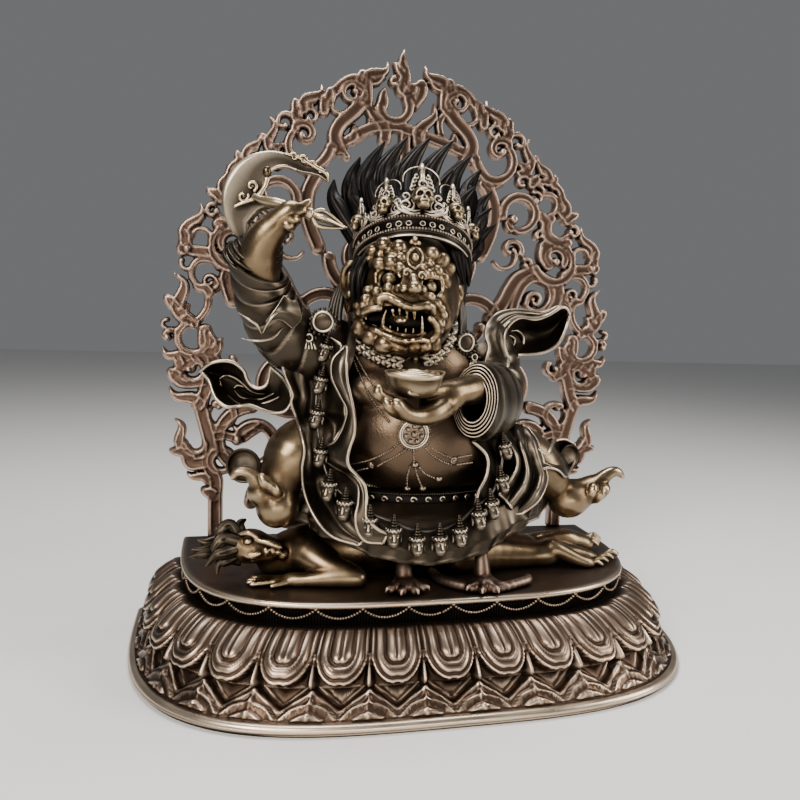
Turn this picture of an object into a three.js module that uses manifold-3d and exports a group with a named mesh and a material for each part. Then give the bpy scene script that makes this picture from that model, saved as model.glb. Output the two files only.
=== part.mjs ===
// A wrathful guardian figure in cast copper: a squat, crowned deity on a prone body, holding a
// flaying knife and a skull bowl, on a D-shaped lotus plinth with an openwork flame halo behind.
// Millimetres, +Z up, front towards -Y. The origin is under the middle of the plinth's box.
import * as THREE from "three";
import { mergeVertices } from "three/addons/utils/BufferGeometryUtils.js";
import Module from "manifold-3d";

const wasm = await Module();
wasm.setup();

// Driving dimensions of the plinth
const RIM_HALF_WIDTH = 150;
const RIM_DEPTH = 150;
const RIM_HEIGHT = 5;
const LOWER_LEAF_TOP = 16.5;
const UPPER_PETAL_TOP = 34;
const SLAB_HALF_WIDTH = 124;
const SLAB_DEPTH = 117;
const SLAB_TOP = 46;
const SLAB_THICKNESS = 2.2;
const SLAB_OVERHANG = 2;
const OUTLINE_SQUARENESS = 3.4;
const PETALS = 19;
const COLUMNS_PER_PETAL = 4;
const PETAL_BULGE = 4.5;
const PETAL_SETBACK = 7.5;
const LEAF_BULGE = 2.6;

// Driving dimensions of the halo
const HALO_WIDTH = 274;
const HALO_HEIGHT = 285;
const HALO_THICKNESS = 5;

// Driving dimensions of the figure, from the slab to the tips of its hair, and of what it holds
const FIGURE_HEIGHT = 231;
const FIGURE_SETBACK = 75;
const KNIFE_RADIUS = 23.8;
const KNIFE_THICKNESS = 3;
const BOWL_RADIUS = 14;
const BOWL_HEIGHT = 12.5;

// Clearance between pieces that rest on or in each other
const SEAT_GAP = 0.3;

// The plinth's flat back, measured from the origin
const BACK_Y = RIM_DEPTH / 2;
const FLOOR = SLAB_TOP + SEAT_GAP;

const COPPER_DARK = new THREE.MeshStandardMaterial({ color: 0x4a3526, roughness: 0.38, metalness: 1 });
const COPPER_RED = new THREE.MeshStandardMaterial({ color: 0x6d4a37, roughness: 0.42, metalness: 1 });
const COPPER_PALE = new THREE.MeshStandardMaterial({ color: 0x8a7a63, roughness: 0.34, metalness: 1 });
const COPPER_GOLD = new THREE.MeshStandardMaterial({ color: 0x8a6238, roughness: 0.32, metalness: 1 });

const vec = (p) => new THREE.Vector3(p[0], p[1], p[2]);
const lerp = THREE.MathUtils.lerp;
const rad = THREE.MathUtils.degToRad;

// A closed triangle mesh as a solid for joining and cutting
function solid(geometry) {
  const bare = new THREE.BufferGeometry();
  bare.setAttribute("position", geometry.getAttribute("position"));
  if (geometry.index) bare.setIndex(geometry.index);
  const merged = mergeVertices(bare, 1e-4);
  const mesh = new wasm.Mesh({
    numProp: 3,
    vertProperties: new Float32Array(merged.getAttribute("position").array),
    triVerts: new Uint32Array(merged.index.array),
  });
  return new wasm.Manifold(mesh);
}

function toGeometry(body) {
  const mesh = body.getMesh();
  const positions = new Float32Array(mesh.numVert * 3);
  for (let i = 0; i < mesh.numVert; i++) {
    positions.set(mesh.vertProperties.subarray(i * mesh.numProp, i * mesh.numProp + 3), i * 3);
  }
  const geometry = new THREE.BufferGeometry();
  geometry.setAttribute("position", new THREE.BufferAttribute(positions, 3));
  geometry.setIndex(new THREE.BufferAttribute(mesh.triVerts, 1));
  geometry.computeVertexNormals();
  return geometry;
}

const join = (bodies) => bodies.reduce((whole, body) => whole.add(body));
const moved = (body, matrix) => solid(toGeometry(body).applyMatrix4(matrix));

// A closed body through rings of equal point counts. Each end closes with a fan.
function loft(rings) {
  const count = rings[0].length;
  const points = rings.flat();
  const faces = [];
  for (let r = 0; r + 1 < rings.length; r++) {
    for (let i = 0; i < count; i++) {
      const a = r * count + i;
      const b = r * count + ((i + 1) % count);
      faces.push(a, b, b + count, a, b + count, a + count);
    }
  }
  const top = (rings.length - 1) * count;
  for (let i = 1; i + 1 < count; i++) faces.push(0, i + 1, i, top, top + i, top + i + 1);
  const geometry = new THREE.BufferGeometry().setFromPoints(points);
  geometry.setIndex(faces);
  const body = solid(geometry);
  if (body.volume() >= 0) return body;
  for (let i = 0; i < faces.length; i += 3) [faces[i], faces[i + 1]] = [faces[i + 1], faces[i]];
  geometry.setIndex(faces);
  return solid(geometry);
}

// A tapering tube along points. Each size is [half width, half height]; height leans towards up.
function tube(points, sizes, { sides = 6, up = [0, 0, 1] } = {}) {
  const path = points.map(vec);
  const upward = vec(up);
  const rings = path.map((p, i) => {
    const ahead = path[Math.min(i + 1, path.length - 1)];
    const behind = path[Math.max(i - 1, 0)];
    const along = ahead.clone().sub(behind).normalize();
    const across = new THREE.Vector3().crossVectors(upward, along).normalize();
    const over = new THREE.Vector3().crossVectors(along, across);
    const size = sizes[Math.min(i, sizes.length - 1)];
    const [w, h] = Array.isArray(size) ? size : [size, size];
    return Array.from({ length: sides }, (_, k) => {
      const t = ((k + 0.5) / sides) * Math.PI * 2;
      return p.clone().addScaledVector(across, Math.cos(t) * w).addScaledVector(over, Math.sin(t) * h);
    });
  });
  return loft(rings);
}

// An ellipsoid of few faces
function ball(centre, radii) {
  const geometry = new THREE.IcosahedronGeometry(1, 1);
  geometry.scale(...radii).translate(...centre);
  return solid(geometry);
}

// The plinth: one outline after another from the rim up to the slab, cut flat at the back

// A point of the D-shaped outline of a half width and a depth, at an angle from the left end
function outlinePoint(angle, halfWidth, depth) {
  const power = 2 / OUTLINE_SQUARENESS;
  const x = -Math.sign(Math.cos(angle)) * Math.abs(Math.cos(angle)) ** power * halfWidth;
  return [x, BACK_Y - Math.abs(Math.sin(angle)) ** power * depth];
}

// Angles at equal steps along the outline, so that all petals are equally wide
function evenAngles(count, halfWidth, depth) {
  const fine = 2000;
  const run = [0];
  let last = outlinePoint(0, halfWidth, depth);
  for (let i = 1; i <= fine; i++) {
    const here = outlinePoint((i / fine) * Math.PI, halfWidth, depth);
    run.push(run[i - 1] + Math.hypot(here[0] - last[0], here[1] - last[1]));
    last = here;
  }
  const angles = [];
  for (let k = 0, i = 0; k <= count; k++) {
    while (i < fine && run[i] < (run[fine] * k) / count) i++;
    angles.push((i / fine) * Math.PI);
  }
  return angles;
}

// How far an upper petal stands out, across it (-0.5 to 0.5) and down it (0 to 1)
function petalRelief(across, down) {
  const roundEnd = Math.max(0, (down - 0.5) / 0.5);
  const edge = Math.hypot(across / 0.5, roundEnd);
  return edge >= 1 ? 0 : Math.sqrt(1 - edge ** 2);
}

// How far a lower leaf stands out: an upright ogee that is centred between two upper petals
function leafRelief(across, up) {
  const fromMiddle = 0.5 - Math.abs(across);
  const flank = (1 - up) * 0.5;
  return Math.max(0, 1 - fromMiddle / Math.max(flank, 0.05));
}

function plinth() {
  const columns = PETALS * COLUMNS_PER_PETAL;
  const angles = evenAngles(columns, RIM_HALF_WIDTH, RIM_DEPTH);
  const neckWidth = SLAB_HALF_WIDTH - SLAB_OVERHANG;
  const neckDepth = SLAB_DEPTH - SLAB_OVERHANG;
  const inset = (d) => [RIM_HALF_WIDTH - d, RIM_DEPTH - d];
  const between = (share) => [
    lerp(neckWidth, RIM_HALF_WIDTH - PETAL_SETBACK, share),
    lerp(neckDepth, RIM_DEPTH - PETAL_SETBACK - 2, share),
  ];
  const leafHeight = LOWER_LEAF_TOP - RIM_HEIGHT;
  const petalHeight = UPPER_PETAL_TOP - LOWER_LEAF_TOP;
  const rows = [
    { z: 0, size: inset(1.5) },
    { z: RIM_HEIGHT / 2, size: inset(0) },
    { z: RIM_HEIGHT, size: inset(3) },
  ];
  for (const up of [0.35, 0.8, 1]) {
    rows.push({ z: RIM_HEIGHT + up * leafHeight, size: inset(5 + 7 * up), leaf: up });
  }
  for (const down of [0.96, 0.8, 0.45, 0.02]) {
    const rise = 1 - down ** 1.6;
    rows.push({ z: LOWER_LEAF_TOP + rise * petalHeight, size: between(down), petal: down });
  }
  rows.push({ z: UPPER_PETAL_TOP + 1, size: [neckWidth, neckDepth] });
  rows.push({ z: SLAB_TOP - SLAB_THICKNESS, size: [neckWidth, neckDepth] });
  rows.push({ z: SLAB_TOP - SLAB_THICKNESS, size: [SLAB_HALF_WIDTH, SLAB_DEPTH] });
  rows.push({ z: SLAB_TOP, size: [SLAB_HALF_WIDTH, SLAB_DEPTH] });

  const rings = rows.map((row) =>
    angles.map((angle, column) => {
      const across = (column % COLUMNS_PER_PETAL) / COLUMNS_PER_PETAL - 0.5;
      let out = 0;
      if (row.petal !== undefined) out = PETAL_BULGE * petalRelief(across, row.petal);
      if (row.leaf !== undefined) out = LEAF_BULGE * leafRelief(across, row.leaf);
      const atEnd = column === 0 || column === columns;
      const [x, y] = outlinePoint(angle, row.size[0] + out, row.size[1] + (atEnd ? 0 : out));
      return new THREE.Vector3(x, atEnd ? BACK_Y : y, row.z);
    })
  );
  return plinthBody(rings);
}

// Skins the stacked outlines: the carved front, the flat back, the underside and the top
function plinthBody(rings) {
  const count = rings[0].length;
  const points = rings.flat();
  const faces = [];
  for (let r = 0; r + 1 < rings.length; r++) {
    for (let i = 0; i < count; i++) {
      const a = r * count + i;
      const b = r * count + ((i + 1) % count);
      faces.push(a, b, b + count, a, b + count, a + count);
    }
  }
  for (const [row, flip] of [[0, true], [rings.length - 1, false]]) {
    const outline = rings[row].map((p) => new THREE.Vector2(p.x, p.y));
    for (const [a, b, c] of THREE.ShapeUtils.triangulateShape(outline, [])) {
      const base = row * count;
      if (flip) faces.push(base + a, base + c, base + b);
      else faces.push(base + a, base + b, base + c);
    }
  }
  const geometry = new THREE.BufferGeometry().setFromPoints(points);
  geometry.setIndex(faces);
  return solid(geometry);
}

// The halo: scrolls, flames and stems in its own plane, drawn for the right half at the heights of
// the real work, with the slab at DRAWN_FLOOR, and set to the halo's own width and height afterwards
const DRAWN_FLOOR = 46;
const DRAWN_HALO_WIDTH = 268;
const DRAWN_HALO_HEIGHT = 285;

// Each scroll: the centre, the radius at its start and its end, the angle where it starts, how far
// it turns, clockwise where negative, half the strand's width, and the radius of the ball it ends in
const SCROLLS = [
  [37.5, 297, 5, 5.5, 40, -200, 1.7, 0],
  [31, 303, 7, 2, 210, -440, 1.8, 2],
  [54, 288.5, 5.3, 1.8, -10, 330, 1.6, 1.9],
  [68.2, 284, 5.8, 2, 165, -270, 1.7, 2.2],
  [55, 272.5, 12.5, 10.5, 180, 230, 2.9, 0],
  [57, 278.5, 6.5, 2, 30, 300, 2.4, 2.8],
  [72.5, 260.5, 5.5, 1.5, -20, 300, 1.6, 1.7],
  [81, 254.5, 6, 5, 130, -130, 1.6, 0],
  [81.5, 252, 4, 2, 120, -230, 1.4, 2.6],
  [71, 242, 10.5, 10, 190, -290, 2.8, 0],
  [67.5, 237, 4.5, 1.5, 250, -150, 2.4, 3.4],
  [88.5, 248.5, 6.5, 6.5, 110, -200, 1.9, 0],
  [97.5, 235, 7, 6.5, 130, 220, 1.8, 0],
  [106, 233, 4, 1.6, 100, -270, 1.6, 2.2],
  [85.5, 230.5, 3.2, 1.2, 220, -300, 1.5, 1.6],
  [94.5, 214, 12.3, 12, 200, 215, 2.6, 0],
  [94.5, 216.5, 7.5, 2.5, -30, 330, 2.3, 3],
  [112, 218, 5, 5, 200, -200, 1.6, 0],
  [121, 211, 3.4, 1.5, 60, -260, 1.5, 2.6],
  [119.5, 203.5, 3.5, 3, 30, -160, 1.5, 0],
  [109.5, 198.5, 7.8, 8, 150, -200, 2.2, 0],
  [107.7, 194, 4.4, 1.4, 230, -380, 1.4, 1.6],
  [84.5, 193, 9.5, 9, 60, -205, 2, 0],
  [83.5, 190.5, 5.2, 1.5, 200, -390, 1.7, 1.8],
  [77.3, 212, 3.6, 1.5, 120, -270, 1.6, 2.2],
  [67, 220.5, 6.8, 2.5, -20, 250, 1.9, 2.2],
  [63, 216, 7.2, 7, 40, -190, 1.5, 0],
  [116.5, 162, 8.3, 8.3, 60, -240, 2.2, 0],
  [116, 169.5, 2.6, 1, 120, 200, 1.4, 1.7],
  [130, 163, 2, 1, 90, -180, 1.8, 2.4],
  [130.5, 169.5, 2.4, 2, 100, -180, 1.3, 0],
  [116.5, 144, 5.8, 5.5, 110, 200, 1.7, 0],
  [118, 144.5, 2.6, 1, 120, 200, 1.3, 1.7],
  [97.5, 147.5, 4.4, 1.8, 120, 260, 1.7, 2.3],
  [101, 118, 7.4, 7, 60, 330, 1.9, 0],
  [102.5, 123.5, 2, 1, 90, 180, 1.3, 1.7],
  [88, 112, 5.5, 5.5, 190, 160, 1.5, 0],
  [115, 101.5, 6, 5, 0, -190, 2, 0],
  [100.5, 91.5, 6.5, 6.5, 60, -330, 2.2, 0],
];

// Each flame: its foot, its tip, how far it swings aside as a share of its length, and half its
// width at the foot
const FLAMES = [
  [23, 309, 11, 322.5, -0.3, 2.4],
  [20, 311, 12, 313.5, 0.15, 1.8],
  [27, 308, 24.5, 317, 0.1, 2.8],
  [44, 298, 43, 305.5, 0.1, 2.6],
  [30, 277, 28.5, 286.5, 0.1, 2],
  [58, 292, 48, 306.5, -0.28, 2.3],
  [54, 297, 49, 298, 0.2, 1.4],
  [62, 289, 62, 298, 0.1, 2.6],
  [74, 267, 76, 286.5, -0.25, 2.2],
  [74, 268, 68.5, 273.5, -0.15, 1.7],
  [77, 272, 80.5, 277.5, 0.1, 1.8],
  [78, 260, 82, 266.5, 0.1, 2.2],
  [88, 262, 82, 277, -0.25, 2.1],
  [86, 267, 81.5, 268.5, 0.1, 1.4],
  [92, 260, 93, 267, 0.15, 2],
  [99, 243, 99, 258.5, -0.3, 2.4],
  [102, 240, 109.3, 245.5, 0.15, 2.4],
  [120, 217, 112.5, 236.5, -0.25, 2.3],
  [116, 226.5, 110, 229, 0.2, 1.4],
  [121, 216, 122.5, 224, 0.1, 2.4],
  [119, 172, 126.8, 198, -0.3, 3],
  [124, 175, 118, 180.5, 0.15, 2.2],
  [127, 180, 131, 186, 0.1, 2.4],
  [108, 187, 116, 193.5, 0.3, 2.1],
  [108, 154, 107, 169, 0.15, 3.2],
  [106, 154, 100, 162, 0.15, 2.4],
  [118, 147, 132.5, 156.5, 0.3, 2.6],
  [124, 147, 125, 153.5, 0.1, 2],
  [123, 139, 130, 143.5, -0.1, 3.2],
  [124, 138, 118, 134, 0.1, 2],
  [112, 122, 129, 134, 0.25, 2.7],
  [114, 123, 109.5, 130, 0.1, 2.3],
  [120, 98, 126, 115.5, -0.25, 2.3],
  [120, 96, 129, 98, 0.1, 2.4],
  [108, 80, 119.5, 84.5, 0.2, 2.1],
  [105, 71, 111.5, 75, 0.1, 2.8],
];

// Each stem: half its width, then its points
const STEMS = [
  [4.6, 24, 300, 29, 294, 37, 286, 40, 279, 38, 272],
  [2.8, 22, 300, 23, 309, 30, 311, 36, 308, 41, 303, 46, 298, 46.5, 292],
  [2, 23, 297, 20, 291, 22, 283, 28, 278, 36, 276],
  [2.6, 55, 294, 61, 290, 62, 285],
  [2.8, 42, 272, 49, 262, 52, 258, 58, 260],
  [4.6, 49, 258, 54, 248, 55, 238, 53, 228, 48, 216],
  [2, 33, 268, 37, 272, 41, 269],
  [2.2, 70, 266, 75, 266, 79, 262, 88, 262, 95, 259, 98, 252, 97, 244],
  [3.2, 84, 242, 88, 238, 89, 230, 97, 226, 103, 226],
  [4, 88.5, 223, 88, 217, 91, 213],
  [4.2, 80, 207, 92, 202, 98, 198, 97, 190, 95, 184],
  [3, 102, 206, 109, 210, 118, 211, 121, 216],
  [4, 80, 207, 72, 203, 67, 196, 63, 188, 56, 178],
  [2.8, 90, 203, 82, 204, 76, 200, 72, 192, 70, 184, 72, 172],
  [2, 100, 200, 102, 192, 105, 189, 108, 186, 109, 179, 114, 172, 119, 172],
  [3, 119, 172, 124, 177, 128, 182],
  [3.6, 110, 166, 110, 159, 107, 154, 105, 148, 107, 141],
  [1.8, 123, 166, 129, 166],
  [2.6, 106, 149, 112, 150, 119, 147, 125, 143, 124, 137, 117, 136, 109, 138],
  [2.8, 105, 147, 100, 143],
  [3.6, 107, 142, 109, 134, 112, 124, 110, 114, 108, 106, 106, 98, 108, 90, 104, 80, 104, 70, 104, 46],
  [3.8, 109, 91, 117, 90, 119, 95],
  [2.6, 106, 106, 98, 106, 90, 104, 84, 108, 78, 112],
];

// The flame at the top with its lobes, and the open ring under it, on the middle line
const CREST_SCROLLS = [
  [-6.5, 298, 8.5, 8, 30, -215, 2.8, 0],
  [-7, 311.5, 2.6, 1, 90, 200, 1.6, 1.8],
];
const CREST_FLAMES = [
  [-2.5, 308, -1.5, 330.5, -0.1, 2.9],
  [-2, 316, -8, 322.5, 0.1, 2],
  [1, 305, 8, 313.5, 0.2, 2.6],
  [8.5, 311, 6.5, 297, 0.12, 2.7],
  [-15, 296, -11.5, 308.5, -0.1, 2.6],
  [8, 278, 16.5, 302, 0.22, 2.7],
  [-12, 279, -20, 301, -0.2, 2.7],
];
const CREST_STEMS = [
  [2.8, -4, 311, 1, 305, 7, 309],
  [3, -34, 276, -22, 284, -7, 287, 8, 284, 22, 280, 34, 276],
  [3, 0, 286, 0, 262, 0, DRAWN_FLOOR],
];

// How much fuller than their drawn lines the strands of each kind are cast
const SCROLL_FULLNESS = 1.18;
const FLAME_FULLNESS = 1.12;
const STEM_FULLNESS = 1.2;
const FLAME_SWING = 0.45;
const WIDEST_STEM = 4.6;

// The plainer middle that the figure hides: rows of large scrolls, each row shifted by half a step,
// with a ring on the middle line in every other row. Each row is given by how many it has on one side.
const MIDDLE_ROWS = [2, 3, 2, 2, 1, 1];
const MIDDLE_STEP = 42;
const MIDDLE_RISE = 36;
const MIDDLE_FOOT = 66;
const MIDDLE_RADIUS = 21;
const MIDDLE_CURL = 8;
const MIDDLE_SWEEP = 440;
const MIDDLE_RING = 12.6;
const MIDDLE_STRAND = 3.6;

const pairs = (list) => Array.from({ length: list.length / 2 }, (_, i) => [list[2 * i], list[2 * i + 1]]);

// Each strand is a row of discs, [x, z, radius], set close enough to run together
function scrollDiscs([cx, cz, from, to, start, sweep, half, end]) {
  const count = Math.ceil(Math.abs(sweep) / 8);
  const discs = Array.from({ length: count + 1 }, (_, i) => {
    const share = i / count;
    const angle = rad(start + sweep * share);
    const radius = lerp(from, to, share);
    const thick = half * SCROLL_FULLNESS * (1 - 0.25 * share);
    return [cx + Math.cos(angle) * radius, cz + Math.sin(angle) * radius, thick];
  });
  const [x, z] = discs[count];
  if (end > 0) discs.push([x, z, end]);
  return discs;
}

function flameDiscs([fx, fz, tx, tz, swing, half]) {
  const count = 24;
  return Array.from({ length: count + 1 }, (_, i) => {
    const share = i / count;
    const aside = FLAME_SWING * swing * Math.sin(share * Math.PI * 2);
    const taper = half * FLAME_FULLNESS * (1 - share ** 2) + 0.5;
    return [lerp(fx, tx, share) - (tz - fz) * aside, lerp(fz, tz, share) + (tx - fx) * aside, taper];
  });
}

function stemDiscs([half, ...list]) {
  const points = pairs(list).map(([x, z]) => new THREE.Vector3(x, 0, z));
  const curve = new THREE.CatmullRomCurve3(points, false, "centripetal");
  const count = Math.ceil(curve.getLength());
  const thick = Math.max(half, Math.min(half * STEM_FULLNESS, WIDEST_STEM));
  return Array.from({ length: count + 1 }, (_, i) => {
    const p = curve.getPoint(i / count);
    return [p.x, p.z, thick];
  });
}

function middleDiscs() {
  return MIDDLE_ROWS.flatMap((count, row) => Array.from({ length: count }, (_, i) => {
    const x = MIDDLE_STEP * (i + (row % 2 ? 0 : 0.5));
    const z = MIDDLE_FOOT + MIDDLE_RISE * row;
    if (x === 0) return scrollDiscs([x, z, MIDDLE_RING, MIDDLE_RING, 0, 360, MIDDLE_STRAND, 0]);
    const sweep = i % 2 ? MIDDLE_SWEEP : -MIDDLE_SWEEP;
    return scrollDiscs([x, z, MIDDLE_RADIUS, MIDDLE_CURL, 90 * row, sweep, MIDDLE_STRAND, MIDDLE_STRAND]);
  }).flat());
}

function haloDiscs() {
  const half = [
    ...SCROLLS.map(scrollDiscs), ...FLAMES.map(flameDiscs), ...STEMS.map(stemDiscs), middleDiscs(),
  ].flat();
  const crest = [
    ...CREST_SCROLLS.map(scrollDiscs), ...CREST_FLAMES.map(flameDiscs), ...CREST_STEMS.map(stemDiscs),
  ].flat();
  return [...half, ...half.map(([x, z, radius]) => [-x, z, radius]), ...crest];
}

// The outline of all discs together: a grid holds how deep each of its points lies in the nearest
// disc, and the loops where that depth is nothing are walked cell by cell
const GRID_STEP = 0.8;
const OUTLINE_TOLERANCE = 0.95;
const HOLE_TOLERANCE = 1.6;
const SMALLEST_HOLE = 16;

function depthGrid(discs) {
  const left = -DRAWN_HALO_WIDTH / 2 - 8;
  const low = DRAWN_FLOOR - 8;
  const columns = Math.ceil((-2 * left) / GRID_STEP);
  const rows = Math.ceil((DRAWN_HALO_HEIGHT + 16) / GRID_STEP);
  const depth = new Float32Array(columns * rows).fill(-GRID_STEP);
  for (const [x, z, radius] of discs) {
    const reach = radius + GRID_STEP;
    const [c0, c1] = [x - reach, x + reach].map((v) => Math.round((v - left) / GRID_STEP));
    const [r0, r1] = [z - reach, z + reach].map((v) => Math.round((v - low) / GRID_STEP));
    for (let r = r0; r <= r1; r++) {
      for (let c = c0; c <= c1; c++) {
        const here = radius - Math.hypot(left + c * GRID_STEP - x, low + r * GRID_STEP - z);
        const at = r * columns + c;
        if (here > depth[at]) depth[at] = here;
      }
    }
  }
  for (let at = 0; at < depth.length; at++) {
    if (low + Math.floor(at / columns) * GRID_STEP < DRAWN_FLOOR) depth[at] = -GRID_STEP;
    if (Math.abs(depth[at]) < 1e-3) depth[at] = 1e-3;
  }
  return { depth, columns, rows, left, low };
}

// Each inside corner of a cell is left on the same hand while walking along its crossing edges
const CELL_CORNERS = [[0, 0], [1, 0], [1, 1], [0, 1]];

function loops({ depth, columns, rows, left, low }) {
  const value = (c, r) => depth[r * columns + c];
  const crossings = new Map();
  const follow = new Map();
  const edge = (c, r, side) => {
    const [a, b] = [CELL_CORNERS[side], CELL_CORNERS[(side + 1) % 4]].map(([x, y]) => [c + x, r + y]);
    const [p, q] = a[0] + a[1] <= b[0] + b[1] ? [a, b] : [b, a];
    const key = `${p[0]},${p[1]},${q[0] - p[0]}`;
    if (!crossings.has(key)) {
      const [v, w] = [value(...p), value(...q)];
      const share = v / (v - w);
      crossings.set(key, new THREE.Vector2(
        left + lerp(p[0], q[0], share) * GRID_STEP, low + lerp(p[1], q[1], share) * GRID_STEP
      ));
    }
    return key;
  };
  for (let r = 0; r + 1 < rows; r++) {
    for (let c = 0; c + 1 < columns; c++) {
      const inside = CELL_CORNERS.map(([x, y]) => value(c + x, r + y) > 0);
      for (let side = 0; side < 4; side++) {
        if (inside[side] || !inside[(side + 1) % 4]) continue;
        let exit = (side + 1) % 4;
        while (inside[(exit + 1) % 4]) exit = (exit + 1) % 4;
        follow.set(edge(c, r, exit), edge(c, r, side));
      }
    }
  }
  const found = [];
  while (follow.size > 0) {
    const [start] = follow.keys();
    const loop = [];
    for (let key = start; follow.has(key); ) {
      loop.push(crossings.get(key));
      const next = follow.get(key);
      follow.delete(key);
      key = next;
    }
    found.push(loop);
  }
  return found;
}

// Drops the points of a run that lie within the tolerance of the line between its ends
function simplify(run, tolerance) {
  const [first, last] = [run[0], run[run.length - 1]];
  const along = last.clone().sub(first);
  let farthest = 0;
  let distance = tolerance;
  for (let i = 1; i + 1 < run.length; i++) {
    const off = run[i].clone().sub(first);
    const away = along.length() < 1e-6 ? off.length() : Math.abs(along.cross(off)) / along.length();
    if (away > distance) [farthest, distance] = [i, away];
  }
  if (farthest === 0) return [first, last];
  return [
    ...simplify(run.slice(0, farthest + 1), tolerance).slice(0, -1),
    ...simplify(run.slice(farthest), tolerance),
  ];
}

function simplifyLoop(loop, tolerance) {
  const half = Math.floor(loop.length / 2);
  const there = simplify(loop.slice(0, half + 1), tolerance);
  const back = simplify([...loop.slice(half), loop[0]], tolerance);
  return [...there.slice(0, -1), ...back.slice(0, -1)];
}

function halo() {
  const place = ({ x, y }) => new THREE.Vector2(
    (x * HALO_WIDTH) / DRAWN_HALO_WIDTH, (Math.max(y - DRAWN_FLOOR, 0) * HALO_HEIGHT) / DRAWN_HALO_HEIGHT
  );
  const outlines = loops(depthGrid(haloDiscs()))
    .map((loop) => ({ loop, area: THREE.ShapeUtils.area(loop) }))
    .sort((a, b) => b.area - a.area)
    .filter(({ area }, i) => i === 0 || area < -SMALLEST_HOLE)
    .map(({ loop }, i) => simplifyLoop(loop, i === 0 ? OUTLINE_TOLERANCE : HOLE_TOLERANCE).map(place));
  return plate(outlines, HALO_THICKNESS);
}

// A flat plate with holes. The walls stand on the edges that only one face of the front has.
function plate([outline, ...holes], thickness) {
  const flat = [outline, ...holes].flat();
  const points = [
    ...flat.map(({ x, y }) => new THREE.Vector3(x, -thickness, y)),
    ...flat.map(({ x, y }) => new THREE.Vector3(x, 0, y)),
  ];
  const front = THREE.ShapeUtils.triangulateShape(outline, holes);
  const edges = front.flatMap(([a, b, c]) => [[a, b], [b, c], [c, a]]);
  const known = new Set(edges.map(String));
  const faces = [];
  for (const [a, b, c] of front) faces.push([a, b, c], [a, c, b].map((i) => i + flat.length));
  for (const [a, b] of edges) {
    if (known.has(String([b, a]))) continue;
    faces.push([b, a, a + flat.length], [b, a + flat.length, b + flat.length]);
  }
  const geometry = new THREE.BufferGeometry().setFromPoints(points);
  geometry.setIndex(faces.flat());
  const body = solid(geometry);
  if (body.volume() >= 0) return body;
  geometry.setIndex(faces.map(([a, b, c]) => [a, c, b]).flat());
  return solid(geometry);
}

// The figure, drawn in the frame of the whole work and set to its own height afterwards

const DRAWN_FIGURE_HEIGHT = 231;
const DRAWN_SETBACK = 75;

const bead = (centre, radii) => {
  const geometry = new THREE.OctahedronGeometry(1, 0);
  geometry.scale(...radii).translate(...centre);
  return solid(geometry);
};

function bodyMass() {
  return [
    ball([-3, 10, 115], [42, 35, 34]),
    ball([-6, 16, 148], [38, 27, 29]),
    ball([-3, 26, 112], [55, 29, 49]),
  ];
}

// The skirt flares from the waist to a hem that hangs lower in the middle
const SKIRT_SIDES = 20;

function skirt() {
  const ring = (halfX, halfY, z, fold, dip) => Array.from({ length: SKIRT_SIDES }, (_, i) => {
    const angle = (i / SKIRT_SIDES) * Math.PI * 2;
    const out = 1 + fold * (i % 2 ? 1 : -1);
    const x = Math.cos(angle) * halfX * out;
    const y = Math.sin(angle) * halfY * out;
    return new THREE.Vector3(x - 3, y + 8, z + dip * Math.abs(Math.cos(angle)));
  });
  return [loft([
    ring(40, 26, 48, 0, 0),
    ring(66, 40, 64, 0.05, 14),
    ring(62, 36, 82, 0.03, 6),
    ring(48, 32, 98, 0, 2),
  ])];
}

function legs() {
  return [
    tube([[-20, 22, 95], [-52, 12, 107], [-71, 1, 106], [-76, -7, 81]], [20, 19, 14, 8.5]),
    tube([[18, 22, 92], [48, 11, 104], [68, 4, 97], [84, 4, 79]], [20, 19, 14, 9]),
    tube([[-72, -8, 80], [-84, -9, 91], [-92, -9, 98], [-98, -9, 92]], [8, 6.6, 4.6, 2], { sides: 5 }),
    tube([[82, 4, 78], [99, 4, 87], [109, 4, 95], [116, 4, 93]], [9, 6.8, 4.4, 2], { sides: 5 }),
  ];
}

// The raised arm in its wide sleeve, with a cuff that is open around the forearm
const SLEEVE_SIDES = 10;
const SLEEVE_FOLDS = [14, 16];
const SLEEVE_PATH = [
  [[-86, -5, 202], 0.95],
  [[-81.5, 0, 184], 0.9],
  [[-71, 8, 166], 1.05],
  [[-42, 16, 158], 1.15],
];

function sleeveRing(centre, share, radii) {
  const along = vec([lerp(0.1, 1, share), 0.3, lerp(-1, -0.1, share)]).normalize();
  const across = new THREE.Vector3().crossVectors(vec([0, 1, 0]), along).normalize();
  const over = new THREE.Vector3().crossVectors(along, across);
  return Array.from({ length: SLEEVE_SIDES }, (_, i) => {
    const angle = (i / SLEEVE_SIDES) * Math.PI * 2;
    const radius = radii[i % 2];
    return vec(centre)
      .addScaledVector(across, Math.cos(angle) * radius)
      .addScaledVector(over, Math.sin(angle) * radius * 0.8);
  });
}

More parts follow.
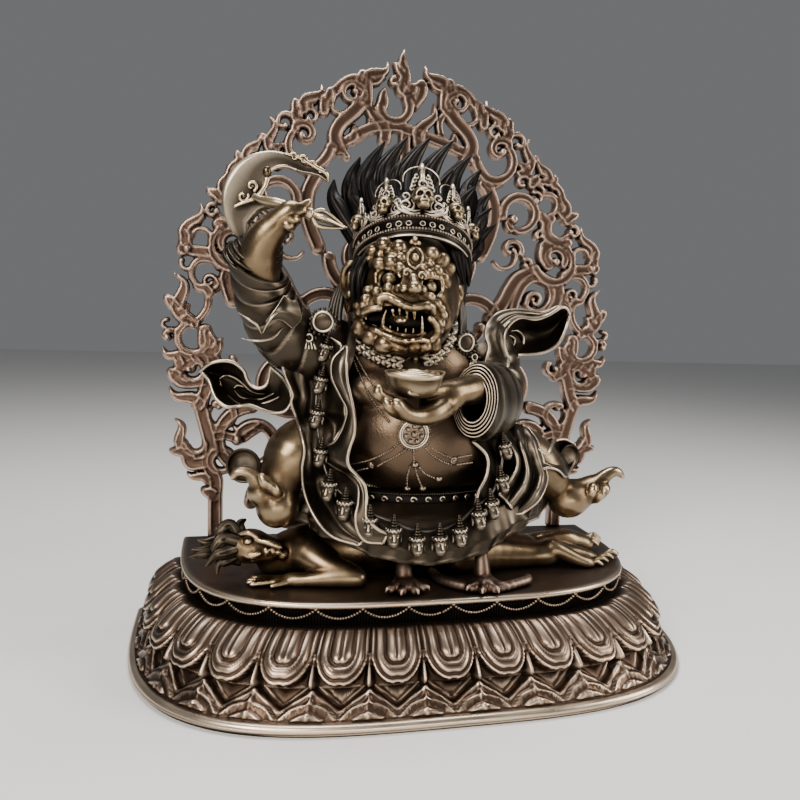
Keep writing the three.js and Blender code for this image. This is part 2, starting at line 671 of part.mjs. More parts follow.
function raisedArm() {
  const rings = SLEEVE_PATH.map(([centre, size], row) => (
    sleeveRing(centre, row / (SLEEVE_PATH.length - 1), SLEEVE_FOLDS.map((radius) => radius * size))
  ));
  const mouth = tube([[-82, -3, 194], [-87, -6, 209]], [[8, 7], [13, 10.5]], { up: [0, 1, 0] });
  return [
    loft(rings).subtract(mouth),
    tube([[-80, -4, 186], [-84, -10, 206], [-81, -14, 217], [-70, -15, 227]], [9, 7.5, 6.2, 7],
      { sides: 5, up: [0, 1, 0] }),
    tube([[-72, -14, 231], [-64, -16, 232], [-57, -17, 232]], [3, 2.6, 2], { sides: 4 }),
    tube([[-71, -17, 222], [-65, -18, 218], [-69, -17, 214]], [3, 2.6, 2], { sides: 4 }),
    tube([[-76, 4, 176], [-83, 4, 160], [-79, 8, 145]], [[6, 9], [5, 9], [3, 5]],
      { sides: 4, up: [0, 1, 0] }),
  ];
}

// The bent left arm in its sleeve; the hand lies under the bowl
function loweredArm() {
  return [
    tube([[22, -14, 134], [29, -9, 135], [43, 4, 138], [34, 18, 158]],
      [[10, 14], [14, 19], [16, 18], [18, 18]], { sides: 7 }),
    tube([[28, -10, 140], [8, -29, 142], [-22, -42, 139]], [[8, 8], [7, 6.5], [6, 4]], { sides: 5 }),
    ...[-27, -20, -13].map((x) => tube([[x + 5, -43, 138], [x, -52, 142], [x - 1, -56, 148]], [3, 2.8, 2],
      { sides: 3 })),
  ];
}

function head() {
  return [
    ball([-12, 6, 191], [28, 29, 29]),
    ball([-14, -6, 174], [22, 20, 14]),
    tube([[-17.5, -16, 204], [-18, -31, 195], [-18, -34, 187]], [3, 4.5, 6], { sides: 4 }),
    ...[[-31, -20, 192], [-4, -20, 188]].map((p) => bead(p, [7, 8, 6])),
    tube([[-36, -12, 197], [-27, -22, 202], [-9, -22, 201], [2, -13, 196]], [3.5, 5, 5, 3.5],
      { sides: 4 }),
    tube([[-35, -10, 171], [-28, -20, 164], [-7, -22, 162], [3, -12, 169]], [4, 5.5, 5.5, 4],
      { sides: 4 }),
    ...[-40, 16].map((x) => bead([x, 8, 188], [5, 7, 14])),
    tube([[-50, 8, 165], [-46, 6, 182]], [[8, 3]], { sides: 5, up: [0, 1, 0] }),
    tube([[23, 8, 155], [20, 6, 171]], [[7, 3]], { sides: 5, up: [0, 1, 0] }),
  ];
}

// The crown leans back; its band carries five skulls under flame-shaped leaves
const CROWN_CENTRE = [-8, 8, 208];
const CROWN_RADIUS = 31;
const CROWN_BAND = 9;
const CROWN_TILT = 24;
const CROWN_SIDES = 14;
const CROWN_LEAVES = [[-78, 6, 26], [-42, 7, 32], [0, 8.5, 42], [40, 7, 32], [76, 6, 26]];

function crown() {
  const band = [[0.97, 0], [1.06, CROWN_BAND], [0.8, CROWN_BAND + 4]];
  const rings = band.map(([share, z]) => Array.from({ length: CROWN_SIDES }, (_, i) => {
    const angle = (i / CROWN_SIDES) * Math.PI * 2;
    const radius = share * CROWN_RADIUS;
    return new THREE.Vector3(Math.cos(angle) * radius, Math.sin(angle) * radius, z);
  }));
  const parts = [loft(rings)];
  for (const [angle, half, height] of CROWN_LEAVES) {
    const turn = rad(angle - 90);
    const at = (out, z) => [Math.cos(turn) * CROWN_RADIUS * out, Math.sin(turn) * CROWN_RADIUS * out, z];
    parts.push(bead(at(1.06, CROWN_BAND + 6), [5.4, 5.4, 6.5]));
    parts.push(tube(
      [at(0.97, CROWN_BAND - 2), at(0.96, height * 0.6), at(0.92, height)],
      [[half, 2.4], [half, 2.4], [0.9, 0.9]],
      { sides: 4, up: [Math.cos(turn), Math.sin(turn), 0] }
    ));
  }
  const tilt = new THREE.Matrix4().makeRotationX(rad(CROWN_TILT)).setPosition(vec(CROWN_CENTRE));
  return [moved(join(parts), tilt)];
}

// Locks of hair flare up behind the crown, and ribbons curl beside it
const HAIR_TIPS = [
  [-46, 41, 249], [-28, 44, 270], [-4, 46, 277], [19, 46, 276], [38, 44, 266], [52, 40, 254],
];

function hair() {
  return [
    ball([-5, 24, 215], [35, 19, 31]),
    ...HAIR_TIPS.map(([x, y, z]) => tube(
      [[lerp(-6, x, 0.55), 26, 220], [lerp(-6, x, 0.88), 37, lerp(216, z, 0.55)], [x, y, z]],
      [[11, 7], [8, 5], [1.6, 1.4]], { sides: 4 }
    )),
    tube([[-34, 12, 208], [-44, 12, 218], [-48, 13, 239]], [[4, 7], [4, 8], [1.5, 2]], { sides: 4 }),
    tube([[20, 12, 204], [33, 12, 210], [40, 14, 232]], [[4, 7], [4, 8], [1.5, 2]], { sides: 4 }),
  ];
}

// The garland of small heads, hung round the knees from the shoulders
const GARLAND = [
  [-53, 2, 159], [-56, 2, 143], [-57, -2, 127], [-56, -9, 110], [-52, -17, 95],
  [-45, -23, 86], [-34, -29, 80], [-23, -32, 75], [-12, -34, 72], [-1, -34, 71],
  [10, -33, 74], [20, -29, 81], [29, -25, 87], [36, -19, 97], [40, -12, 112],
];
const GARLAND_HEAD = [[0.8, 7], [4.2, 1], [2.8, -6]];

function garland() {
  const corners = [[-1, 0], [0, -1.4], [1, 0], [0, 2.4]];
  return GARLAND.map(([x, y, z]) => loft(GARLAND_HEAD.map(([half, dz]) => (
    corners.map(([dx, dy]) => new THREE.Vector3(x + dx * half, y + dy * half, z + dz))
  ))));
}

// Scarves and hanging cloth that swings out at both sides
function scarves() {
  return [
    tube([[-40, 18, 142], [-66, 20, 126], [-92, 24, 121], [-111, 25, 141]],
      [[4, 10], [3, 14], [3, 11], [1, 2]], { sides: 5 }),
    tube([[36, 14, 146], [42, 16, 170], [66, 20, 180], [86, 20, 181]],
      [[4, 9], [3, 10], [3, 11], [1, 2]], { sides: 5, up: [0.5, 0, 0.8] }),
    tube([[60, 18, 174], [60, 18, 156], [38, 12, 138]], [[9, 2.6], [8, 2.6], [5, 2.6]],
      { sides: 4, up: [0, 1, 0] }),
    tube([[-62, 8, 106], [-88, 8, 107], [-97, 8, 99], [-89, 8, 93]], [[6, 3], [5, 3], [4, 3], [2, 2]],
      { sides: 4, up: [0, 1, 0] }),
    tube([[60, 14, 104], [90, 18, 115], [103, 18, 106], [96, 18, 98]], [[6, 3], [5, 3], [4, 3], [2, 2]],
      { sides: 4, up: [0, 1, 0] }),
  ];
}

// Borders of the robe: from the neck down both sides of the belly to the hem
function borders() {
  return [
    tube([[-40, 2, 168], [-45, -4, 146], [-43, -12, 118], [-32, -24, 92]], [[5.5, 12]], { sides: 4 }),
    tube([[24, 2, 164], [33, -10, 122], [26, -20, 92]], [[5.5, 11]], { sides: 4 }),
    tube([[-38, -10, 162], [-16, -19, 151], [14, -10, 160]], [[5, 6], [6, 8], [5, 6]], { sides: 4 }),
    bead([-14.5, -22, 123], [10, 8, 10]),
  ];
}

// The prone body underfoot, with its head to the left, and the paws of the skin on the slab
function underfoot() {
  return [
    ball([-84, 0, 57], [13, 10, 11]),
    bead([-95, 2, 58], [9, 8, 10]),
    tube([[-74, 6, 54], [-50, 8, 57], [62, 6, 53]], [[11, 9], [17, 12], [9, 8]], { sides: 5 }),
    tube([[-60, 2, 57], [-40, -15, 51], [-30, -19, 50]], [9, 6.5, 5.5], { sides: 5 }),
    tube([[-30, -19, 50], [-62, -14, 48.5], [-88, -8, 48]], [[6, 5.5], [4.5, 4], [4, 1.8]], { sides: 5 }),
    tube([[30, -2, 52], [72, 1, 55], [84, -3, 51], [112, 2, 48.5]], [[9, 8], [6.5, 7], [6.5, 5], [9, 2.6]],
      { sides: 5 }),
    tube([[56, 12, 54], [96, 23, 51], [124, 27, 49]], [[6, 6], [6, 4.5], [8, 2.8]], { sides: 5 }),
    tube([[3, -12, 49], [10, -28, 49], [44, -28, 49]], [3.6, 3.6, 2], { sides: 4 }),
    ...[[-15, -27], [24, -30]].flatMap(([x, y]) => [
      tube([[x + 1, y + 6, 72], [x, y + 2, 57], [x, y - 1, 46]], [6, 3.4, 6], { sides: 4 }),
      bead([x, y - 3, 47], [11, 9, 7]),
    ]),
  ];
}

function drawnFigure() {
  return join([
    ...bodyMass(), ...skirt(), ...legs(), ...raisedArm(), ...loweredArm(), ...head(), ...crown(),
    ...hair(), ...garland(), ...scarves(), ...borders(), ...underfoot(),
  ]);
}

// The flaying knife: a crescent blade open to the right, with its stem and pronged handle
const KNIFE_CENTRE = [-79, 229.5];
const KNIFE_ARC = [225, 50];
const KNIFE_HORN = [[-59, 248.5], [-53.5, 245], [-52.5, 240.5], [-58.2, 243]];
const KNIFE_OPENING = [-73.5, 236.5];
const KNIFE_OPENING_RADIUS = 9.3;
const KNIFE_OPENING_ARC = [62, 250];
const KNIFE_HEEL = [[-84.5, 225], [-90, 219], [-90, 208]];

const arcPoints = ([x, z], radius, [from, to], count) => Array.from({ length: count }, (_, i) => {
  const angle = rad(lerp(from, to, i / (count - 1)));
  return [x + Math.cos(angle) * radius, z + Math.sin(angle) * radius];
});

function drawnKnife() {
  const outline = [
    ...arcPoints(KNIFE_CENTRE, KNIFE_RADIUS, KNIFE_ARC, 12),
    ...KNIFE_HORN,
    ...arcPoints(KNIFE_OPENING, KNIFE_OPENING_RADIUS, KNIFE_OPENING_ARC, 9),
    ...KNIFE_HEEL,
  ].map(([x, z]) => new THREE.Vector2(x, z));
  const front = new THREE.Matrix4().setPosition(0, KNIFE_THICKNESS / 2, 0);
  return join([
    moved(plate([outline.reverse()], KNIFE_THICKNESS), front),
    tube([[-60, -14, 223], [-71, -14, 226], [-86, -1, 230]], [2.6, 3, 2], { sides: 5 }),
    tube([[-62, -14, 223.5], [-56, -14, 222], [-45, -14, 218.5]], [1.5, 4, 0.8], { sides: 5 }),
  ]);
}

// The skull bowl: filled nearly to its rim
const BOWL_MIDDLE = [-17, -42, 147];

function drawnBowl() {
  const profile = [[0.35, 0], [0.8, 0.25], [1, 0.65], [1, 1], [0.82, 1], [0.78, 0.8]];
  const sides = 12;
  return loft(profile.map(([out, up]) => Array.from({ length: sides }, (_, i) => {
    const angle = (i / sides) * Math.PI * 2;
    return new THREE.Vector3(
      BOWL_MIDDLE[0] + Math.cos(angle) * BOWL_RADIUS * out,
      BOWL_MIDDLE[1] + Math.sin(angle) * BOWL_RADIUS * out * 0.86,
      BOWL_MIDDLE[2] + (up - 0.5) * BOWL_HEIGHT
    );
  })));
}

const group = new THREE.Group();
function addPiece(name, body, material) {
  const mesh = new THREE.Mesh(toGeometry(body), material);
  mesh.name = name;
  group.add(mesh);
  return mesh;
}

// A body with a thin skin all round, to keep a seat free of what lies in it
const SEAT_SIDES = [[1, 0, 0], [-1, 0, 0], [0, 1, 0], [0, -1, 0], [0, 0, 1], [0, 0, -1]];
function seat(body) {
  return join([body, ...SEAT_SIDES.map((way) => {
    const step = vec(way).multiplyScalar(SEAT_GAP * 1.3);
    return moved(body, new THREE.Matrix4().setPosition(step));
  })]);
}

// The drawn figure, knife and bowl are set to the figure's height and distance from the back
function placed(body) {
  const size = FIGURE_HEIGHT / DRAWN_FIGURE_HEIGHT;
  const matrix = new THREE.Matrix4().makeTranslation(0, BACK_Y - FIGURE_SETBACK, FLOOR)
    .multiply(new THREE.Matrix4().makeScale(size, size, size))
    .multiply(new THREE.Matrix4().makeTranslation(0, DRAWN_SETBACK - BACK_Y, -DRAWN_FLOOR));
  return moved(body, matrix);
}

function belowFloor() {
  const box = new THREE.BoxGeometry(2 * RIM_HALF_WIDTH, 2 * RIM_DEPTH, DRAWN_FLOOR);
  box.translate(0, 0, DRAWN_FLOOR / 2);
  return solid(box);
}

const knife = drawnKnife();
const bowl = drawnBowl();
const figure = drawnFigure().subtract(belowFloor()).subtract(seat(knife)).subtract(seat(bowl));

addPiece("lotus_plinth", plinth(), COPPER_RED);
const flames = addPiece("flame_halo", halo(), COPPER_RED);
flames.position.set(0, BACK_Y, FLOOR);
addPiece("mahakala_figure", placed(figure), COPPER_DARK);
addPiece("flaying_knife", placed(knife), COPPER_PALE);
addPiece("skull_bowl", placed(bowl), COPPER_GOLD);

export default group;
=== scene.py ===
import math

import bpy
import numpy as np
from mathutils import Matrix, Vector


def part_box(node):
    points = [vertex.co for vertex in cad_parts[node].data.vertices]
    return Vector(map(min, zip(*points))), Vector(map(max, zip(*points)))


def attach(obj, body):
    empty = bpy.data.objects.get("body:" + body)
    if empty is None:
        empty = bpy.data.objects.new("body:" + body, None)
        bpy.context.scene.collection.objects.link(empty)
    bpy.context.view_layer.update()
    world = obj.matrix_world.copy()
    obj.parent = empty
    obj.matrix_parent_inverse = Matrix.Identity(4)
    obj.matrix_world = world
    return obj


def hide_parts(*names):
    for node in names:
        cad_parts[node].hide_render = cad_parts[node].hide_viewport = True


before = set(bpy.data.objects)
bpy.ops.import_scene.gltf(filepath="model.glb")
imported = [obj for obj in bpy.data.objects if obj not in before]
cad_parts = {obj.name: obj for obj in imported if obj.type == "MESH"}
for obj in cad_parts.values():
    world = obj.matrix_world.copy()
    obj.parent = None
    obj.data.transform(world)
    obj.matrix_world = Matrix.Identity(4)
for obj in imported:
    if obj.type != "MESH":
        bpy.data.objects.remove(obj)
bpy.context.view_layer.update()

# Everything below is drawn in millimetres, +Z up, with the front towards -Y
MM = 0.001
FLAT_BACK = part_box("lotus_plinth")[1][1] / MM
SLAB_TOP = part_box("lotus_plinth")[1][2] / MM
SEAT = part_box("mahakala_figure")[0][2] / MM
# The figure is drawn with its foot at SLAB_TOP and set down on the slab by RISE
RISE = SEAT - SLAB_TOP


def vec(*values):
    return np.array(values, float)


def unit(v):
    v = np.asarray(v, float)
    return v / np.maximum(np.linalg.norm(v, axis=-1, keepdims=True), 1e-9)


# The camera stands where the photograph was taken, low on the left, and leans a little
CAMERA_AT = vec(-97.5, -370.5, 177)
CAMERA_TURN = math.radians(12.7)
CAMERA_DIP = math.radians(-6.2)
CAMERA_ROLL = math.radians(1.82)
CAMERA_LENS = 33.84
SENSOR = 36
PHOTO_SIZE = 800


def camera_axes():
    """The camera's directions to the right, up and forward."""
    forward = vec(
        math.sin(CAMERA_TURN) * math.cos(CAMERA_DIP),
        math.cos(CAMERA_TURN) * math.cos(CAMERA_DIP),
        math.sin(CAMERA_DIP),
    )
    right = vec(math.cos(CAMERA_TURN), -math.sin(CAMERA_TURN), 0)
    up = np.cross(right, forward)
    lean, upright = math.sin(CAMERA_ROLL), math.cos(CAMERA_ROLL)
    return right * upright + up * lean, up * upright - right * lean, forward


RIGHT, UP, FORWARD = camera_axes()


def make_camera():
    data = bpy.data.cameras.new("camera")
    data.lens = CAMERA_LENS
    data.sensor_width = SENSOR
    data.clip_start = 0.01
    data.clip_end = 20
    camera = bpy.data.objects.new("camera", data)
    bpy.context.collection.objects.link(camera)
    turn = Matrix((RIGHT, UP, -FORWARD)).transposed().to_4x4()
    camera.matrix_world = Matrix.Translation(Vector(CAMERA_AT) * MM) @ turn
    bpy.context.scene.camera = camera


make_camera()


class View:
    """An enlarged view of the photograph, in which places of the drawn figure were picked.

    Its left and upper edges are given in the photograph's pixels, then how many times it is enlarged.
    """

    eye = CAMERA_AT - vec(0, 0, RISE)

    def __init__(self, left, top, enlarged):
        self.corner = vec(left, top)
        self.enlarged = enlarged

    def sight(self, places):
        """The directions in which the camera sees the places."""
        pixels = self.corner + places[..., :2] / self.enlarged - PHOTO_SIZE / 2
        aside = pixels / (CAMERA_LENS / SENSOR * PHOTO_SIZE)
        return FORWARD + aside[..., :1] * RIGHT - aside[..., 1:] * UP

    def at(self, places):
        """Points from places (x, y, depth), each where its line of sight crosses the plane Y = depth."""
        places = np.asarray(places, float)
        way = self.sight(places)
        return np.round(self.eye + way * (places[..., 2:] - self.eye[1]) / way[..., 1:2], 1)

    def on(self, ball, places):
        """Points from places (x, y, lift), raised by the lift from where the lines of sight meet a ball."""
        places = np.asarray(places, float)
        centre, radii = np.array(ball, float)
        way = self.sight(places)
        start, run = (self.eye - centre) / radii, way / radii
        a, b = (run * run).sum(-1), run @ start
        root = np.sqrt(np.maximum(b * b - a * (start @ start - 1), 0))
        met = self.eye + way * ((-b - root) / a)[..., None]
        return np.round(met + unit((met - centre) / radii ** 2) * places[..., 2:], 1)


PHOTO = View(0, 0, 1)
WHOLE_FIGURE = View(140, 40, 3.015)
FACE = View(340, 220, 8.71)
LEFT_OF_FACE = View(230, 220, 8.71)
CROWN_LEFT = View(130, 30, 5.807)
CROWN_RIGHT = View(350, 30, 5.807)
RAISED_HAND = View(200, 140, 9.8)
RAISED_SLEEVE = View(200, 225, 10.453)
LOWER_HAND = View(300, 320, 7.127)
ROBE_FRONT = View(300, 320, 6.03)
ROBE_SIDE = View(470, 400, 8.33)
SCARF_LEFT = View(180, 320, 9.8)
SCARF_RIGHT = View(440, 280, 9.8)
PRONE_HEAD = View(170, 510, 6.817)
PRONE_FEET = View(420, 420, 7.127)

# The round forms that places on the figure's front were picked on: centre and radii
HEAD = ((-12.5, 4, 189), (27.5, 29, 33))
CHEST = ((-6, 16, 148), (38, 27, 29))
BELLY = ((-3, 10, 115), (42, 35, 34))


# Materials

def node(tree, kind, inputs=(), **settings):
    """Adds a node. Each of its inputs is fed by the output given for it, or set to the value given."""
    made = tree.nodes.new(kind)
    for key, value in settings.items():
        setattr(made, key, value)
    for name, value in dict(inputs).items():
        if isinstance(value, bpy.types.NodeSocket):
            tree.links.new(value, made.inputs[name])
        else:
            made.inputs[name].default_value = value
    return made


def ramp(tree, source, stops):
    made = node(tree, "ShaderNodeValToRGB", {"Fac": source})
    for point, (at, shade) in zip(made.color_ramp.elements, stops):
        point.position = at
        point.color = (*shade, 1) if isinstance(shade, tuple) else (shade, shade, shade, 1)
    return made.outputs["Color"]


def mixed(tree, factor, first, second):
    mix = node(tree, "ShaderNodeMix", {"Factor": factor, "A": first, "B": second}, data_type="RGBA")
    return mix.outputs["Result"]


MOTTLE_SCALE = 55
GRAIN_SCALE = 900
GRAIN_HEIGHT = 0.0004
PATINA_SHARE = 0.7
HOLLOW_ROUGHNESS = 0.7


def metal(name, deep, body, bright, rough, relief=0.05, cavity=0.007):
    """Cast metal: painted shade darkens its hollows, polish with a painted highlight lightens its ridges,
    with mottled patina and a fine grain.
    """
    made = bpy.data.materials.new(name)
    made.use_nodes = True
    tree = made.node_tree
    place = node(tree, "ShaderNodeTexCoord").outputs["Object"]
    mottle, grain = (
        node(tree, "ShaderNodeTexNoise", {"Vector": place, "Scale": scale, "Detail": detail}).outputs["Fac"]
        for scale, detail in ((MOTTLE_SCALE, 5), (GRAIN_SCALE, 3))
    )
    # Ambient occlusion: recesses turn towards the dark tone, a painted shade
    openness = node(tree, "ShaderNodeAmbientOcclusion", {"Distance": cavity}, samples=6).outputs["AO"]
    sharpness = node(tree, "ShaderNodeNewGeometry").outputs["Pointiness"]
    raised = ramp(tree, openness, [(0.3, 0.0), (0.92, 1.0)])
    # Pointiness: sharp ridges turn towards the bright tone, a painted highlight together with real polish on
    # raised parts
    ridge = ramp(tree, sharpness, [(0.5, 0.0), (0.57, 1.0)])
    patina = ramp(tree, mottle, [(0.32, tuple(c * PATINA_SHARE for c in body)), (0.62, body)])
    gloss = ramp(tree, mottle, [(0.3, rough + 0.1), (0.7, rough - 0.06)])
    polish_and_highlight = mixed(tree, ridge, patina, (*bright, 1))
    uneven = node(tree, "ShaderNodeBump", {"Strength": relief, "Distance": GRAIN_HEIGHT, "Height": grain})
    shader = tree.nodes["Principled BSDF"]
    shader.inputs["Metallic"].default_value = 1
    shader.inputs["Specular IOR Level"].default_value = 0.5
    tree.links.new(mixed(tree, raised, (*deep, 1), polish_and_highlight), shader.inputs["Base Color"])
    tree.links.new(mixed(tree, raised, (*(HOLLOW_ROUGHNESS,) * 3, 1), gloss), shader.inputs["Roughness"])
    tree.links.new(uneven.outputs["Normal"], shader.inputs["Normal"])
    return made


# Each metal: its painted shade in the hollows, its body, and its ridges' polish with painted highlight, then
# how rough it is
COPPER = metal("red_copper", (0.008, 0.005, 0.004), (0.095, 0.058, 0.042), (0.52, 0.38, 0.30), 0.38)
PLINTH = metal("plinth_copper", (0.008, 0.005, 0.003), (0.105, 0.066, 0.046), (0.78, 0.60, 0.45), 0.32)
SLAB = metal("slab_copper", (0.012, 0.008, 0.006), (0.080, 0.050, 0.036), (0.66, 0.53, 0.40), 0.38)
BAND = metal("band_metal", (0.002, 0.002, 0.002), (0.007, 0.006, 0.005), (0.03, 0.025, 0.02), 0.55)
PALE = metal("pale_bronze", (0.07, 0.05, 0.035), (0.30, 0.225, 0.165), (0.80, 0.66, 0.50), 0.3, cavity=0.0015)
SKIN = metal("bronze_skin", (0.007, 0.004, 0.003), (0.120, 0.078, 0.042), (0.78, 0.60, 0.38), 0.29)
BARE = metal("belly_bronze", (0.008, 0.005, 0.004), (0.085, 0.055, 0.036), (0.46, 0.34, 0.22), 0.34,
             relief=0.3)
CLOTH = metal("cloth_bronze", (0.005, 0.004, 0.003), (0.054, 0.042, 0.030), (0.54, 0.44, 0.33), 0.33)
BLACK = metal("black_bronze", (0.002, 0.002, 0.002), (0.012, 0.010, 0.009), (0.13, 0.115, 0.10), 0.36)
TRIM = metal("trim_bronze", (0.005, 0.004, 0.003), (0.075, 0.058, 0.043), (0.66, 0.56, 0.43), 0.3,
             cavity=0.003)
STEEL = metal("knife_metal", (0.010, 0.009, 0.008), (0.085, 0.069, 0.052), (0.52, 0.44, 0.33), 0.34)
GOLD = metal("bowl_bronze", (0.007, 0.005, 0.003), (0.120, 0.085, 0.050), (0.74, 0.58, 0.38), 0.28)


# Mesh helpers: a form is (points, faces), the points in millimetres

def grid(points, close_u=False, close_v=False):
    """Quads over a field of points [row, column]; u runs along a row."""
    rows, columns = points.shape[:2]
    number = np.arange(rows * columns).reshape(rows, columns)
    if close_u:
        number = np.concatenate([number, number[:, :1]], 1)
    if close_v:
        number = np.concatenate([number, number[:1]], 0)
    faces = np.stack([number[:-1, :-1], number[:-1, 1:], number[1:, 1:], number[1:, :-1]], -1).reshape(-1, 4)
    return points.reshape(-1, 3), faces


def joined(forms):
    points, faces, base = [], [], 0
    for p, f in forms:
        points.append(np.asarray(p, float))
        faces += [np.asarray(part) + base for part in (f if isinstance(f, list) else [f])]
        base += len(p)
    return np.concatenate(points), faces


# The share of its faces that each of the finest pieces keeps: they go where the surface is plainest
SHARE_KEPT = {
    "halo_flames": 0.52, "head": 0.58, "belly": 0.34, "robe": 0.45, "garland_heads": 0.6,
    "plinth_lotus": 0.85, "legs": 0.34, "corpse": 0.45, "hair": 0.5, "skirt": 0.45, "left_hand": 0.5,
    "right_scarf": 0.5, "crown_skulls": 0.7, "left_scarf": 0.6, "right_arm": 0.5, "paws": 0.5,
    "crown_trim": 0.75, "girdle_links": 0.7,
}


def thinned(piece, share):
    """Leaves faces out where the surface is plainest."""
    piece.modifiers.new("thinned", "DECIMATE").ratio = share
    whole = piece.data
    ready = piece.evaluated_get(bpy.context.evaluated_depsgraph_get())
    piece.data = bpy.data.meshes.new_from_object(ready)
    piece.modifiers.clear()
    bpy.data.meshes.remove(whole)


def shown(name, form, material, stands_for=None):
    """Makes a piece of a form, in the row's frame, riding on the one body there is."""
    points, faces = form
    mesh = bpy.data.meshes.new(name)
    parts = faces if isinstance(faces, list) else [faces]
    mesh.from_pydata((points * MM).tolist(), [], [list(map(int, face)) for part in parts for face in part])
    mesh.validate()
    mesh.shade_smooth()
    piece = bpy.data.objects.new(name, mesh)
    bpy.context.collection.objects.link(piece)
    mesh.materials.append(material)
    if name in SHARE_KEPT:
        thinned(piece, SHARE_KEPT[name])
    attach(piece, "root")
    if stands_for:
        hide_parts(stands_for)


def cast(name, form, material, stands_for=None):
    """Makes a piece of the drawn figure, set down on the slab."""
    points, faces = form
    shown(name, (np.asarray(points) + vec(0, 0, RISE), faces), material, stands_for)


def smooth(points, count):
    """Points along a smooth curve through the given ones, at equal steps of its parameter."""
    p = np.asarray(points, float)
    p = np.concatenate([2 * p[:1] - p[1:2], p, 2 * p[-1:] - p[-2:-1]])
    spans = len(p) - 3
    t = np.linspace(0, spans, count)
    k = np.minimum(t.astype(int), spans - 1)
    s = (t - k)[:, None]
    a, b, c, d = p[k], p[k + 1], p[k + 2], p[k + 3]
    square, cube = 2 * a - 5 * b + 4 * c - d, 3 * b - a - 3 * c + d
    return 0.5 * (2 * b + (c - a) * s + square * s ** 2 + cube * s ** 3)


def patch(rows, across, along):
    """A smooth field of points through a coarse one."""
    wide = np.stack([smooth(row, across) for row in rows])
    return np.stack([smooth(wide[:, i], along) for i in range(across)], 1)


def evenly(path, pitch=None, count=2):
    """Points at equal steps along a path, about a pitch apart or so many."""
    run = np.concatenate([[0], np.cumsum(np.linalg.norm(np.diff(path, axis=0), axis=1))])
    if pitch:
        count = max(2, int(round(run[-1] / pitch)) + 1)
    at = np.linspace(0, run[-1], count)
    return np.stack([np.interp(at, run, column) for column in path.T], 1)


def round_angles(count):
    return np.linspace(0, 2 * math.pi, count, endpoint=False)


def frames(path):
    """Directions along, across and over a path, turning as little as they can."""
    along = unit(np.gradient(path, axis=0))
    start = np.cross(along[0], (0, 0, 1))
    if np.linalg.norm(start) < 0.2:
        start = np.cross(along[0], (0, 1, 0))
    across = [unit(start)]
    for way in along[1:]:
        across.append(unit(across[-1] - way * np.dot(across[-1], way)))
    across = np.array(across)
    return along, across, np.cross(along, across)


def rings(path, across, over, wide, tall, sides):
    """Rings of points round a path, so wide across and so tall over it."""
    angle = round_angles(sides)
    return path[:, None] + (np.cos(angle) * wide)[..., None] * across[:, None] + (
        np.sin(angle) * tall)[..., None] * over[:, None]


def end_caps(base, sides, last):
    """Triangles from the two points after a closed grid to its first and its last ring."""
    ring_at = np.arange(sides)
    after = (ring_at + 1) % sides
    first = np.stack([np.full(sides, base), after, ring_at], 1)
    return [first, np.stack([np.full(sides, base + 1), last + ring_at, last + after], 1)]


def pipe(path, radii, sides=10, closed=False):
    """A round strand along a path. The radii taper along it."""
    path = np.asarray(path, float)
    radius = np.interp(np.linspace(0, 1, len(path)), np.linspace(0, 1, len(radii)), radii)
    along, across, up = frames(path)
    p, f = grid(rings(path, across, up, radius[:, None], radius[:, None], sides), close_u=True,
                close_v=closed)
    if closed:
        return p, f
    ends = np.array([path[0] - along[0] * radius[0] * 0.5, path[-1] + along[-1] * radius[-1] * 0.5])
    return np.concatenate([p, ends]), [f, *end_caps(len(p), sides, len(p) - sides)]


def globe(centre, radii, rings=8, sides=12):
    """An ellipsoid."""
    polar = np.linspace(0, math.pi, rings + 1)[1:-1, None]
    angle = round_angles(sides)
    ball = np.stack([np.sin(polar) * np.cos(angle), np.sin(polar) * np.sin(angle),
                     np.cos(polar) + 0 * angle], -1)
    p, f = grid(ball, close_u=True)
    p = np.concatenate([p, [(0, 0, 1), (0, 0, -1)]]) * np.asarray(radii, float) + np.asarray(centre, float)
    return p, [f, *end_caps(len(p) - 2, sides, len(p) - 2 - sides)]


def beads(path, radius, pitch, rings, sides):
    """A string of round beads along a path."""
    places = evenly(np.asarray(path, float), pitch)
    return joined([globe(place, (radius,) * 3, rings, sides) for place in places])


def turned(form, matrix=None, at=(0, 0, 0), size=1.0):
    points, faces = form
    points = np.asarray(points) * size
    if matrix is not None:
        points = points @ np.asarray(matrix).T
    return points + np.asarray(at, float), faces


def spin(axis, degrees):
    """A rotation matrix about x, y or z."""
    return np.array(Matrix.Rotation(math.radians(degrees), 3, axis.upper()))


# Clay: a distance field on a grid that round forms are pressed into, then skinned

